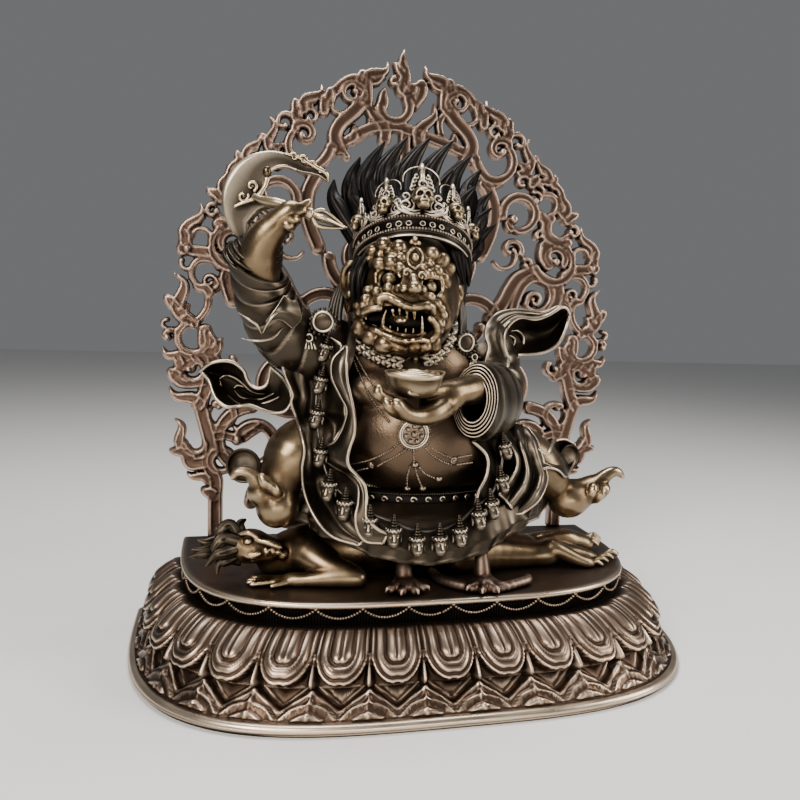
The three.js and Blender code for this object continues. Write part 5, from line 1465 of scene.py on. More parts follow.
def make_right_sleeve():
    """The wide sleeve of the raised arm: nested cuffs, then a folded tube to the shoulder."""
    angle = round_angles(84)
    opening = unit(vec(0.35, -0.52, 0.78))
    path = smooth([(-87, -6, 204), (-85.5, -4, 198), (-83.5, -1, 190), (-79.5, 3, 179), (-71, 8, 167),
                   (-57, 13, 160), (-42, 16, 156)], 110)
    way = -frames(path)[0]

    def ring(centre, axis, radius):
        across = unit(np.cross((0, 1, 0), axis))
        over = np.cross(axis, across)
        radius = np.broadcast_to(radius, angle.shape)[:, None]
        return centre + (np.cos(angle)[:, None] * across + np.sin(angle)[:, None] * over * 0.9) * radius

    rows = []
    for radius, height in ((8.4, 0.4), (9.9, -1.4), (11.2, -3.4), (12.4, -5.6), (13.5, -8.0), (14.3, -10.6)):
        for out, up in ((-1.5, -0.6), (-0.5, 0.45), (0.05, 0.4), (0.3, -0.2), (0.1, -1.2), (-0.9, -1.9)):
            shift = opening * (height + up + 5.5) + vec(0.4, 0, 0.3) * (15 - radius - out)
            rows.append(ring(path[0] + shift, opening, radius + out))
    for k in range(12, len(path)):
        s = k / (len(path) - 1)
        turn = np.clip((s - 0.1) / 0.4, 0, 1)
        axis = unit(opening * (1 - turn) + way[k] * turn)
        body = np.interp(s, [0.1, 0.3, 0.5, 0.75, 1.0], [15.0, 13.6, 13.8, 15.5, 18])
        phase = s * 52 + 1.2 * np.sin(angle + 0.9) + 1.1 * np.sin(2 * angle + 5 * s)
        fold = np.abs(np.sin(phase / 2)) ** 0.7 * np.interp(s, [0.1, 0.2, 0.35, 0.7], [0.2, 0.6, 1.1, 1.6])
        rows.append(ring(path[k], axis, body + fold))
    forms = [grid(np.array(rows), close_u=True)]
    drape = RAISED_SLEEVE.at([
        [(880, 740, -13), (940, 785, -12), (1010, 800, -10)],
        [(800, 870, -15), (900, 880, -15), (1045, 900, -11)],
        [(740, 945, -15), (870, 930, -15), (1050, 990, -11)],
        [(690, 1012, -14), (840, 985, -14), (965, 1075, -11)],
    ])
    forms.append(sheet_form(patch(drape, 26, 40), 0.9, 0.45))
    forms += strands(RAISED_SLEEVE, RAISED_SLEEVE_FOLDS, 0.7)
    cast("right_sleeve", joined(forms), CLOTH)


def make_left_sleeve():
    path = smooth([(18, -25, 138), (22, -19, 137), (32, -6, 136), (38, 4, 138), (38, 14, 150),
                   (33, 18, 162)], 80)
    along, _, _ = frames(path)
    across = unit(np.cross(np.broadcast_to(vec(0, 0, 1), along.shape), along))
    over = np.cross(along, across)
    angle = round_angles(64)
    share = np.linspace(0, 1, len(path))
    rows = []
    opening = np.cos(angle)[:, None] * across[4] * 11.5 + np.sin(angle)[:, None] * over[4] * 18.5
    for radius, depth in ((0.60, 1.0), (0.69, 1.9), (0.78, 2.9), (0.87, 4.1), (0.96, 5.6)):
        for out, back in ((-0.08, 3.2), (-0.035, -0.3), (-0.01, -0.6), (0.012, -0.1), (0.005, 1.2),
                          (-0.03, 2.6)):
            rows.append(path[6] + along[4] * (depth + back - 9) + opening * (radius + out))
    for k in range(14, len(path)):
        s = share[k]
        wide = np.interp(s, [0.15, 0.4, 0.7, 1], [12, 14, 15.5, 17])
        tall = np.interp(s, [0.15, 0.4, 0.7, 1], [19, 19.5, 18, 17])
        phase = 3 * angle + 2.2 * np.sin(s * 9) + s * 12
        fold = 1 + 0.02 * np.abs(np.sin(phase / 2)) ** 0.7
        fold += 0.026 * np.sin(s * 40 + 1.4 * np.sin(angle + 0.6))
        ring = np.cos(angle)[:, None] * across[k] * wide + np.sin(angle)[:, None] * over[k] * tall
        rows.append(path[k] + ring * fold[:, None])
    cast("left_sleeve", grid(np.array(rows), close_u=True), CLOTH)


def make_skirt():
    angle = round_angles(300)
    rows = []
    for s in np.linspace(0, 1, 90):
        half_x = np.interp(s, [0, 0.3, 0.62, 0.86, 1], [38, 58, 66, 64, 54])
        half_y = np.interp(s, [0, 0.3, 0.62, 0.86, 1], [24, 35, 40, 38, 28])
        height = np.interp(s, [0, 0.3, 0.62, 0.86, 1], [88, 80, 66, 58.5, 57])
        front = np.clip(-np.sin(angle), 0, 1)
        rise = np.interp(s, [0, 0.3, 0.62, 0.86, 1], [0, 8, 16, 18, 18]) * np.abs(np.cos(angle)) ** 1.5
        wave = np.sin(13 * angle + 3 * np.sin(2 * angle)) + 0.5 * np.sin(29 * angle + s * 4)
        wave *= 1 - 0.9 * front * np.clip(1.6 - 2 * s, 0, 1)
        hem = 0.8 * np.interp(s, [0.8, 0.9, 0.97, 1], [0, 1, 1, 0])
        fold = 1 + wave * 0.03 * np.clip(s * 1.6, 0, 1)
        half_x, half_y = half_x + hem, half_y + hem
        x = -3 + np.cos(angle) * half_x * fold
        y = 6 + np.sin(angle) * half_y * fold
        rows.append(np.stack([x, y, height + rise], 1))
    cast("skirt", grid(np.array(rows), close_u=True), CLOTH)


def strands(view, lines, radius):
    """Thin raised folds along the lines picked in a view."""
    radii = (0.3 * radius, radius, radius, 0.3 * radius)
    return [pipe(smooth(view.at(line), 12 * len(line)), radii, 8) for line in lines]


def dish(centre, radius, tilt):
    """A small round end of cloth, hollow towards the front, with a rolled rim."""
    turn = round_angles(48)
    rows = [
        np.stack([np.cos(turn) * radius * out, 0 * turn + deep, np.sin(turn) * radius * out], 1)
        for out, deep in ((0.02, 4.6), (0.35, 4.2), (0.7, 2.6), (0.93, 0.4), (1.02, -0.4), (1.08, 0.3),
                          (1.0, 1.6), (0.75, 4.0), (0.36, 5.6), (0.02, 6.0))
    ]
    return turned(grid(np.array(rows), close_u=True), spin("z", tilt), centre)


# Folds and the end of the left scarf
LEFT_SCARF_FOLDS = [
    [(385, 580, 33), (430, 547, 33), (490, 547, 34), (580, 595, 33), (690, 690, 28), (800, 722, 25),
     (880, 695, 23)],
    [(530, 665, 33), (570, 642, 34), (640, 660, 31)],
    [(530, 690, 32), (600, 760, 28), (700, 785, 25), (800, 778, 24), (920, 720, 21)],
    [(390, 590, 34), (420, 690, 33), (500, 775, 27), (590, 828, 20)],
    [(640, 840, 18), (760, 830, 20), (880, 800, 19), (1000, 740, 16)],
]
LEFT_SCARF_END = SCARF_LEFT.at((620, 1430, 2))


def make_left_scarf():
    rows = SCARF_LEFT.at([
        [(200, 500, 26), (205, 503, 27), (210, 506, 27), (216, 512, 26)],
        [(290, 430, 23), (310, 500, 32), (320, 560, 32), (285, 592, 25)],
        [(400, 403, 22), (410, 520, 35), (400, 640, 34), (325, 710, 22)],
        [(520, 417, 22), (520, 560, 36), (480, 700, 33), (375, 795, 20)],
        [(620, 490, 22), (600, 620, 35), (560, 740, 30), (465, 855, 18)],
        [(655, 580, 22), (650, 680, 32), (620, 760, 28), (570, 848, 19)],
        [(700, 642, 21), (710, 720, 29), (700, 780, 25), (680, 835, 17)],
        [(770, 672, 20), (790, 740, 27), (800, 810, 21), (800, 878, 13)],
        [(840, 640, 20), (880, 740, 24), (900, 830, 17), (920, 912, 9)],
        [(870, 560, 20), (960, 680, 20), (1010, 780, 13), (1030, 893, 7)],
        [(890, 460, 18), (1000, 560, 17), (1075, 680, 11), (1100, 800, 7)],
    ])
    field = patch(rows, 40, 120)
    forms = [sheet_form(field, 0.9, 1.0)]
    forms += strands(SCARF_LEFT, LEFT_SCARF_FOLDS, 0.8)
    forms.append(dish(LEFT_SCARF_END, 8.2, -14))
    cast("left_scarf", joined(forms), CLOTH)


# Folds and the end of the right scarf
RIGHT_SCARF_FOLDS = [
    [(535, 720, 6), (520, 620, 8), (540, 500, 9), (610, 410, 11), (720, 345, 13), (860, 335, 14)],
    [(585, 720, 6), (560, 620, 9), (590, 520, 8), (650, 430, 9), (730, 380, 11)],
    [(690, 500, 17), (760, 500, 20), (815, 560, 23), (810, 640, 22), (750, 680, 18)],
    [(680, 540, 16), (730, 580, 19), (720, 650, 18)],
]
RIGHT_SCARF_END = PHOTO.at((570, 458, 14))


def make_right_scarf():
    band = SCARF_RIGHT.at([
        [(240, 890, -14), (245, 893, -15), (250, 896, -15), (255, 902, -14), (260, 912, -12)],
        [(330, 855, -10), (335, 870, -12), (340, 885, -12), (350, 900, -11), (360, 920, -9)],
        [(450, 860, 2), (470, 880, -2), (490, 900, -4), (520, 925, -4), (560, 962, -2)],
        [(450, 790, 8), (500, 800, 2), (560, 830, -1), (610, 860, 0), (655, 870, 4)],
        [(480, 660, 12), (515, 660, 7), (560, 680, 6), (610, 720, 6), (664, 765, 9)],
        [(450, 545, 14), (500, 545, 9), (545, 560, 11), (590, 590, 8), (625, 620, 10)],
        [(470, 435, 15), (530, 450, 10), (575, 465, 12), (610, 480, 9), (650, 490, 11)],
        [(560, 335, 17), (600, 365, 12), (640, 390, 14), (680, 400, 11), (715, 405, 12)],
        [(700, 296, 19), (720, 320, 14), (745, 340, 16), (775, 355, 12), (805, 367, 13)],
        [(850, 301, 20), (870, 325, 15), (890, 345, 17), (910, 365, 13), (935, 386, 14)],
        [(1000, 322, 20), (1010, 330, 17), (1025, 338, 17), (1040, 343, 15), (1060, 346, 15)],
        [(1150, 262, 18), (1155, 265, 17), (1160, 268, 17), (1165, 271, 16), (1172, 275, 16)],
    ])
    pouch = SCARF_RIGHT.at([
        [(625, 610, 10), (640, 640, 12), (655, 690, 12), (668, 755, 9)],
        [(650, 490, 11), (670, 560, 17), (690, 650, 17), (710, 742, 10)],
        [(715, 405, 12), (730, 500, 21), (750, 620, 21), (780, 734, 12)],
        [(805, 367, 13), (820, 480, 25), (840, 600, 25), (870, 730, 13)],
        [(935, 386, 14), (940, 480, 27), (960, 600, 27), (985, 716, 14)],
        [(1060, 346, 15), (1065, 450, 27), (1070, 560, 27), (1065, 690, 15)],
        [(1172, 275, 16), (1170, 380, 25), (1160, 490, 25), (1145, 635, 16)],
        [(1235, 275, 17), (1235, 340, 21), (1225, 430, 21), (1205, 540, 17)],
        [(1266, 320, 18), (1267, 345, 19), (1263, 372, 19), (1255, 400, 18)],
    ])
    shoulder = Clay((18, -20, 126), (66, 38, 184), 0.9)
    shoulder.path([(38, 4, 138), (39, 14, 150), (33, 18, 162)], (16.5, 17, 17.5), 1, count=9)
    forms = [sheet_form(over(shoulder, patch(band, 40, 130), 1.2), 0.9, 0.9),
             sheet_form(patch(pouch, 30, 90), 0.9, 0.9)]
    forms += strands(SCARF_RIGHT, RIGHT_SCARF_FOLDS, 0.75)
    forms.append(dish(RIGHT_SCARF_END, 7.2, 20))
    cast("right_scarf", joined(forms), CLOTH)


def make_robe():
    panels = []
    coat = ROBE_FRONT.at([
        [(2, 61, 2), (60, 80, 4), (160, 100, 2), (250, 150, -4)],
        [(-47, 123, 2), (50, 140, 5), (150, 150, 4), (245, 200, -4)],
        [(-100, 246, 3), (20, 260, 6), (150, 280, 4), (235, 330, -5)],
        [(-92, 325, 4), (20, 350, 6), (150, 360, 4), (240, 400, -6)],
        [(-45, 443, 1), (40, 460, 5), (150, 470, 3), (265, 480, -7)],
        [(-52, 500, 1), (40, 540, 6), (150, 550, 2), (270, 550, -8)],
        [(-20, 600, 2), (60, 620, 5), (150, 630, 2), (270, 620, -8)],
        [(25, 770, -2), (70, 780, 3), (130, 780, 0), (190, 780, -6)],
        [(12, 900, -6), (80, 900, -1), (180, 900, -4), (270, 910, -12)],
        [(27, 1040, -14), (110, 1040, -9), (230, 1030, -14), (345, 1000, -20)],
        [(90, 1190, -22), (180, 1150, -17), (280, 1120, -21), (350, 1100, -25)],
        [(195, 1305, -27), (260, 1250, -25), (320, 1210, -27), (345, 1190, -29)],
        [(350, 1358, -31), (380, 1335, -31), (400, 1300, -32), (420, 1280, -33)],
    ])
    field = patch(coat, 50, 140)
    across, along = np.linspace(0, 1, 50), np.linspace(0, 1, 140)
    fold = np.sin(along[:, None] * 5 + across[None, :] * 22) * np.sin(across * math.pi)[None, :]
    field[:, :, 1] -= 1.0 * fold * np.clip(1.3 - along, 0, 1)[:, None]
    panels.append(sheet_form(over(legs_clay, field, 1.0), 1.0, 0.8))
    lapel = ROBE_FRONT.at([
        [(275, 160, -8), (280, 165, -10), (287, 170, -11)],
        [(200, 240, -8), (240, 250, -13), (280, 260, -14)],
        [(193, 340, -9), (240, 350, -15), (283, 360, -15)],
        [(240, 445, -12), (275, 450, -17), (303, 455, -17)],
        [(285, 540, -15), (305, 550, -18), (325, 560, -19)],
        [(265, 640, -14), (295, 660, -19), (328, 680, -20)],
        [(215, 730, -13), (255, 750, -18), (300, 770, -21)],
        [(150, 775, -10), (210, 810, -17), (285, 840, -22)],
        [(155, 840, -10), (220, 860, -18), (300, 890, -23)],
        [(230, 895, -14), (280, 910, -20), (345, 940, -24)],
        [(310, 935, -19), (340, 960, -24), (385, 990, -26)],
        [(352, 1000, -23), (375, 1030, -27), (400, 1060, -28)],
        [(353, 1100, -27), (375, 1110, -29), (400, 1120, -30)],
        [(335, 1190, -30), (365, 1190, -31), (400, 1190, -32)],
        [(350, 1275, -32), (390, 1250, -33), (430, 1230, -34)],
        [(400, 1335, -34), (440, 1300, -34), (480, 1270, -35)],
        [(500, 1345, -35), (520, 1310, -35), (540, 1290, -35)],
    ])
    panels.append(sheet_form(patch(lapel, 20, 150), 0.9, 0.9))
    right = ROBE_FRONT.at([
        [(1040, 730, -20), (1120, 700, -12), (1215, 650, -4)],
        [(1125, 820, -20), (1180, 790, -9), (1260, 730, -4)],
        [(1125, 930, -22), (1210, 900, -12), (1312, 810, -4)],
        [(1075, 1040, -25), (1200, 1020, -14), (1318, 920, -4)],
        [(1060, 1120, -28), (1180, 1100, -19), (1280, 1020, -8)],
        [(1085, 1180, -29), (1150, 1160, -22), (1215, 1090, -13)],
    ])
    panels.append(sheet_form(over(legs_clay, patch(right, 30, 70), 1.0), 0.9, 0.9))
    point = ROBE_FRONT.at([
        [(1100, 1195, -24), (1150, 1160, -23), (1200, 1115, -18)],
        [(1150, 1235, -22), (1205, 1200, -22), (1262, 1155, -16)],
        [(1200, 1265, -20), (1245, 1240, -19), (1292, 1205, -14)],
        [(1275, 1288, -15), (1288, 1272, -14), (1298, 1245, -12)],
    ])
    panels.append(sheet_form(patch(point, 24, 40), 0.9, 0.9))
    drop = WHOLE_FIGURE.at([
        [(1095, 1170, 4), (1130, 1160, 8), (1180, 1180, 12)],
        [(1130, 1230, 0), (1180, 1220, 6), (1230, 1240, 12)],
        [(1150, 1300, -4), (1210, 1290, 4), (1270, 1270, 12)],
        [(1130, 1370, -10), (1200, 1380, -2), (1260, 1340, 8)],
        [(1080, 1440, -18), (1140, 1460, -12), (1200, 1440, -2)],
    ])
    panels.append(sheet_form(patch(drop, 24, 50), 0.9, 0.8))
    fan = ROBE_SIDE.at([
        [(545, 400, 12), (560, 460, 11), (580, 520, 8), (610, 575, 4)],
        [(640, 450, 13), (650, 480, 14), (650, 520, 12), (660, 565, 6)],
        [(700, 352, 14), (722, 430, 18), (735, 500, 18), (740, 590, 8)],
        [(785, 328, 16), (803, 420, 21), (803, 520, 20), (792, 642, 9)],
        [(868, 365, 17), (884, 430, 19), (866, 520, 18), (815, 625, 10)],
    ])
    panels.append(sheet_form(over(legs_clay, patch(fan, 30, 50), 0.8), 0.9, 0.8))
    fall = ROBE_SIDE.at([
        [(252, 215, -2), (300, 205, 3), (350, 190, 4), (400, 200, 7), (440, 215, 9), (480, 235, 10)],
        [(290, 310, -8), (340, 300, -2), (400, 300, -2), (450, 310, 3), (500, 310, 6), (552, 328, 9)],
        [(345, 395, -12), (385, 385, -7), (428, 400, -10), (475, 430, -4), (530, 440, 0), (592, 445, 4)],
        [(385, 470, -15), (420, 480, -10), (457, 500, -13), (500, 520, -7), (560, 540, -7), (625, 562, -4)],
        [(387, 560, -16), (425, 570, -11), (470, 600, -15), (520, 630, -9), (585, 640, -11), (646, 650, -8)],
        [(345, 645, -17), (390, 680, -12), (440, 715, -16), (490, 745, -11), (550, 755, -13),
         (612, 765, -11)],
        [(285, 725, -18), (335, 760, -14), (385, 800, -17), (430, 835, -13), (485, 850, -15),
         (550, 855, -14)],
        [(238, 782, -20), (290, 830, -17), (332, 880, -18), (352, 922, -16), (380, 945, -17),
         (430, 945, -17)],
    ])
    field = over(legs_clay, patch(fall, 60, 90), 1.0)
    ridges = np.sin(np.linspace(0, 5.4 * math.pi, 60))[None, :] * np.sin(np.linspace(0.25, 2.9, 90))[:, None]
    field[:, :, 1] -= 0.5 + 0.9 * ridges
    panels.append(sheet_form(field, 0.9, 0.8))
    cast("robe", joined(panels), CLOTH)


def make_girdle():
    """The jewelled belt under the belly."""
    turn = round_angles(120)
    loop = lambda grow, z: np.stack([-3 + np.cos(turn) * (41 + grow), 8 + np.sin(turn) * (27 + grow),
                                     0 * turn + z], 1)
    rows = [loop(grow, z) for grow, z in ((-3, 93), (0.4, 92), (1.4, 90), (1.6, 87), (1.2, 85), (-3, 84))]
    cast("girdle", grid(np.array(rows), close_u=True), BLACK)
    links = [beads(loop(1.7, z), 0.5, 1.15, 4, 6) for z in (91.2, 85.4)]
    for k in range(36):
        t = math.radians(10 * k)
        place = vec(-3 + math.cos(t) * 42.4, 8 + math.sin(t) * 28.4, 88.3)
        ring = turned(curl((0, 0, 0), 1.7, 1.0, 0.45, 0, 1, 16), spin("z", 10 * k + 90), place)
        links.append(ring)
    cast("girdle_links", joined(links), TRIM)


make_right_sleeve()
make_left_sleeve()
make_skirt()
make_left_scarf()
make_right_scarf()
make_robe()
make_girdle()


# What the figure holds, wears and stands on

KNIFE_CENTRE = (-79, 229.5)
KNIFE_RADIUS = 23.8
KNIFE_HORN = [(-59, 248.5), (-53.5, 245), (-52.7, 240.5)]
KNIFE_OPENING = (-73.5, 236.5)
KNIFE_OPENING_RADIUS = 9.3
KNIFE_HEEL = [(-84.5, 225), (-90, 219), (-90.5, 208)]


def arc(centre, radius, start, end, count=24):
    angle = np.radians(np.linspace(start, end, count))
    return np.stack([centre[0] + np.cos(angle) * radius, centre[1] + np.sin(angle) * radius], 1)


def make_knife():
    outer = np.concatenate([arc(KNIFE_CENTRE, KNIFE_RADIUS, 225, 50), smooth(KNIFE_HORN, 12)])
    inner = np.concatenate([
        KNIFE_HEEL[::-1], arc(KNIFE_OPENING, KNIFE_OPENING_RADIUS, 250, 62),
        [(-58.2, 243.2), KNIFE_HORN[2]],
    ])
    outer, inner = evenly(outer, count=90), evenly(inner, count=90)
    rows = []
    for share, half in ((0, 0.4), (0.05, 1.1), (0.12, 1.5), (0.2, 1.35), (0.3, 1.1), (0.6, 0.9), (0.9, 0.7),
                        (1.0, 0.3)):
        line = inner + (outer - inner) * share
        rows.append((line[:, 0], line[:, 1], half))
    front = np.array([np.stack([x, 0 * x - half, z], 1) for x, z, half in rows])
    back = np.array([np.stack([x, 0 * x + half, z], 1) for x, z, half in rows])[::-1]
    blade = grid(np.concatenate([front, back]), close_v=True)
    trim = [pipe(smooth([(-88, -3, 231.5), (-84, -6, 229.5), (-78, -10, 228), (-71, -14, 226)], 24),
                 (1.6, 2.0, 2.6, 2.2), 12)]
    trim += [curl((-89, -3, 236), 2.6, 1.1, 0.9, -1.2, 1, 26),
             curl((-93, -3, 231), 2.6, 1.1, 0.9, 0.4, -1, 26),
             globe((-82, -2.6, 243), (2.0, 1.6, 2.8), 8, 12),
             pipe(smooth([(-86, -4, 231), (-83, -3.4, 236), (-82, -3, 240)], 12), (1.6, 1.2, 1.6), 10),
             pipe(smooth([(-88, -3, 230), (-93, -3, 228), (-97, -3, 226)], 12), (1.3, 1.2, 0.6), 10)]
    for x, z, size in ((-69.5, 251, 1.9), (-65, 250, 2.1), (-60.5, 248, 1.7), (-57, 245.6, 1.4)):
        trim.append(curl((x, -1.4, z), size, 1.1, 0.65, 2.6, -1, 24))
    spine = [(-74, -1, 252.4), (-66, -1, 250.6), (-59, -1.2, 247), (-54, -1, 244.4), (-52.8, 0, 240.5)]
    trim.append(pipe(smooth(spine, 24), (0.5, 1.0, 1.2, 1.3, 0.5), 9))
    edge = arc(KNIFE_OPENING, KNIFE_OPENING_RADIUS + 0.7, 255, 60, 40)
    trim.append(pipe(np.stack([edge[:, 0], 0 * edge[:, 0] - 1.2, edge[:, 1]], 1), (1.1, 1.1, 0.7), 8))
    trim.append(pipe(smooth([(-66, -14, 224.5), (-62, -14, 223.3)], 6), (2.4, 3.0), 12))
    for a in round_angles(4):
        axis = unit(vec(16, 2, -5))
        side = unit(np.cross(axis, (0, 1, 0)))
        over = np.cross(axis, side)
        base = vec(-62, -13.8, 223.2)
        off = side * math.cos(a) + over * math.sin(a)
        prong = [base, base + axis * 4 + off * 3.6, base + axis * 10 + off * 2.6, base + axis * 17]
        trim.append(pipe(smooth(prong, 16), (1.3, 1.1, 0.6), 8))
    trim.append(pipe([(-62, -13.8, 223.2), (-45, -12, 218.4)], (1.8, 0.5), 8))
    cast("knife_blade", blade, STEEL, "flaying_knife")
    cast("knife_trim", joined(trim), GOLD, None)


def make_bowl():
    centre = vec(-17, -42, 147)
    t = round_angles(64)
    rows = []
    profile = [(0.02, 0.0), (0.3, 0.0), (0.55, 0.09), (0.78, 0.28), (0.9, 0.5), (0.96, 0.72), (1.0, 0.86),
               (1.05, 0.97), (1.04, 1.02), (0.98, 1.0), (0.93, 0.92), (0.9, 0.86), (0.02, 0.86)]
    for out, up in profile:
        wave = (0.25 * np.sin(3 * t + 1) - 1.5 * np.clip(-np.sin(t), 0, 1) ** 2) * (up > 0.8)
        rows.append(np.stack([np.cos(t) * 13.3 * out, np.sin(t) * 13.3 * 0.86 * out,
                              (up - 0.5) * 12 + wave], 1) + centre)
    cast("bowl", grid(np.array(rows), close_u=True), GOLD, "skull_bowl")
    waves = []
    for k, (size, lift) in enumerate([(0.82, 0.0), (0.62, 0.5), (0.4, 1.1)]):
        loop = np.stack([np.cos(t) * 13.3 * size + 0.6 * np.sin(3 * t), np.sin(t) * 11 * size,
                         4.6 + lift + 0.3 * np.sin(4 * t + k)], 1)
        waves.append(turned(pipe(loop, (1.1, 1.1), 8, closed=True), None, centre))
    waves.append(globe(centre + vec(0, 0, 4.6), (10.5, 8.5, 1.6), 8, 24))
    cast("bowl_filling", joined(waves), GOLD, None)


# The garland of small heads, hung round the knees from the shoulders
GARLAND = [
    (-53, 0, 159), (-55, -1, 143), (-57, -6, 127), (-55.5, -12, 109), (-52, -19, 94), (-45, -24, 86),
    (-34, -30, 79), (-23, -34, 75), (-12, -36, 71), (-1, -36, 71), (9.5, -34, 74), (20, -30, 81),
    (28, -26, 85), (35, -20, 96), (38, -14, 112),
]


def small_head():
    """A crowned face: brow, lids, nose, lips, cheeks and long ears, the same for every head."""
    clay = Clay((-4.8, -5.5, -7), (4.8, 4.6, 5.4), 0.37)
    clay.ball((0, 0, 0.3), (3.5, 3.8, 4.6))
    clay.ball((0, -1.2, -3.2), (2.5, 2.6, 2.4), 1.8)
    for side in (-1, 1):
        clay.ball((side * 1.45, -3.9, 0.3), (1.0, 0.7, 0.6), 0.5, cut=True)
        clay.ball((side * 1.45, -3.1, 0.3), (0.8, 0.55, 0.42), 0.2)
        clay.ball((side * 3.7, 0.2, -0.8), (0.5, 1.0, 2.1), 0.4)
    clay.rod((0, -3.7, 1.2), (0, -4.5, -1.0), 0.4, 0.75, 0.5)
    clay.rod((-0.8, -3.6, -2.7), (0.8, -3.6, -2.7), 0.45, 0.45, 0.4)
    for k in range(15):
        a = math.radians(-187 + k * 14)
        clay.ball((math.cos(a) * 3.55, math.sin(a) * 3.75, 3.0 + 0.5 * (k % 2)), (0.6, 0.6, 0.8), 0.3)
    return clay.skin()


def make_garland():
    head = small_head()
    tiers = ((5.4, 2.3), (6.7, 1.9), (7.9, 1.5), (9.0, 1.1), (10, 0.8))
    spire = joined([globe((0, 0, z), (r, r, 0.8), 5, 9) for z, r in tiers])
    whole = joined([head, spire])
    forms = []
    for i, (x, y, z) in enumerate(GARLAND):
        lean = np.interp(i, [0, 4, 9, 14], [14, 4, -2, -16])
        face = np.interp(x, [-57, -12, 40], [-30, 0, 26])
        size = 1.0 if 3 < i < 13 else 0.92
        forms.append(turned(whole, spin("z", face) @ spin("y", lean), (x, y - 1, z), size))
    cast("garland_heads", joined(forms), TRIM)
    line = smooth([(x, y + 2, z + 6) for x, y, z in GARLAND], 160)
    cast("garland_cord", pipe(line, (0.8, 0.8), 6), BLACK)


# The prone body's hair: bundles combed back from the brow, and loose tips
CORPSE_LOCKS = [
    ([(450, 180, -5), (400, 105, -7), (340, 150, -9), (305, 225, -9)], 3.4),
    ([(440, 215, -7), (360, 200, -10), (310, 250, -11), (290, 300, -10)], 3.6),
    ([(440, 265, -7), (370, 290, -10), (310, 310, -11), (240, 390, -9)], 3.6),
    ([(440, 310, -6), (380, 345, -9), (330, 370, -9), (320, 440, -9)], 2.6),
    ([(340, 205, -2), (250, 222, -4), (185, 205, -5)], 2.3),
    ([(340, 245, -3), (230, 268, -5), (145, 270, -5)], 2.4),
    ([(330, 300, -4), (220, 300, -6), (122, 322, -5)], 2.5),
    ([(440, 170, 1), (425, 100, 3), (440, 70, 5)], 2.6),
    ([(480, 165, 1), (480, 95, 4), (520, 62, 6)], 2.6), ([(400, 190, -1), (330, 130, 0), (330, 95, 2)], 2.4),
    ([(480, 300, 4), (380, 300, 6), (280, 300, 6)], 5), ([(480, 220, 6), (380, 200, 8), (300, 230, 8)], 5),
]


# The prone face, each form by its places, one for a ball and more for a strand, its size, how softly
# it joins, and whether it is cut in
PRONE_FACE = [
    ([(545, 245, -1)], (11, 9, 8.6), 2, False),
    ([(455, 215, -3)], (5.5, 5.5, 5.5), 2, False),
    ([(680, 265, -3)], (7, 6.4, 6), 3, False),
    ([(465, 165, -7), (535, 158, -9), (600, 192, -10.5)], (0.8, 1.2, 0.8), 0.8, False),
    ([(528, 212, -10.5)], (2.9, 3.0, 2.4), 0.6, True),
    ([(530, 214, -8.6)], (2.1, 2.0, 1.6), 0.3, False),
    ([(480, 275, -7), (545, 312, -9), (610, 296, -10)], (1.0, 1.5, 1.0), 1.2, False),
    ([(585, 205, -10), (670, 222, -12), (745, 250, -12)], (0.9, 1.2, 1.6), 1.0, False),
    ([(735, 285, -10.5)], (1.7, 1.7, 1.5), 0.6, False),
    ([(648, 262, -11), (660, 285, -11), (652, 308, -10)], (0.8, 1.2, 0.8), 0.4, False),
    ([(692, 262, -11.5), (704, 284, -11), (698, 305, -10)], (0.8, 1.3, 0.8), 0.4, False),
    ([(765, 298, -8)], (2.8, 3.2, 2.8), 1.2, False),
]


# The prone body's feet, and one toe of each
NEAR_SOLE = PRONE_FEET.at([(940, 905, -3), (1040, 955, -5), (1150, 1005, -7), (1215, 1020, -7)])
NEAR_INSTEP = PRONE_FEET.at([(980, 925, 2), (1100, 950, 3), (1230, 985, 1)])
NEAR_TOE = PRONE_FEET.at([(1215, 1022, -7), (1255, 1008, -7), (1292, 1030, -7)])
FAR_FOOT = PRONE_FEET.at([(1000, 850, 13), (1100, 862, 14), (1190, 885, 14)])
FAR_TOE = PRONE_FEET.at([(1165, 880, 14), (1215, 862, 14), (1260, 890, 14)])


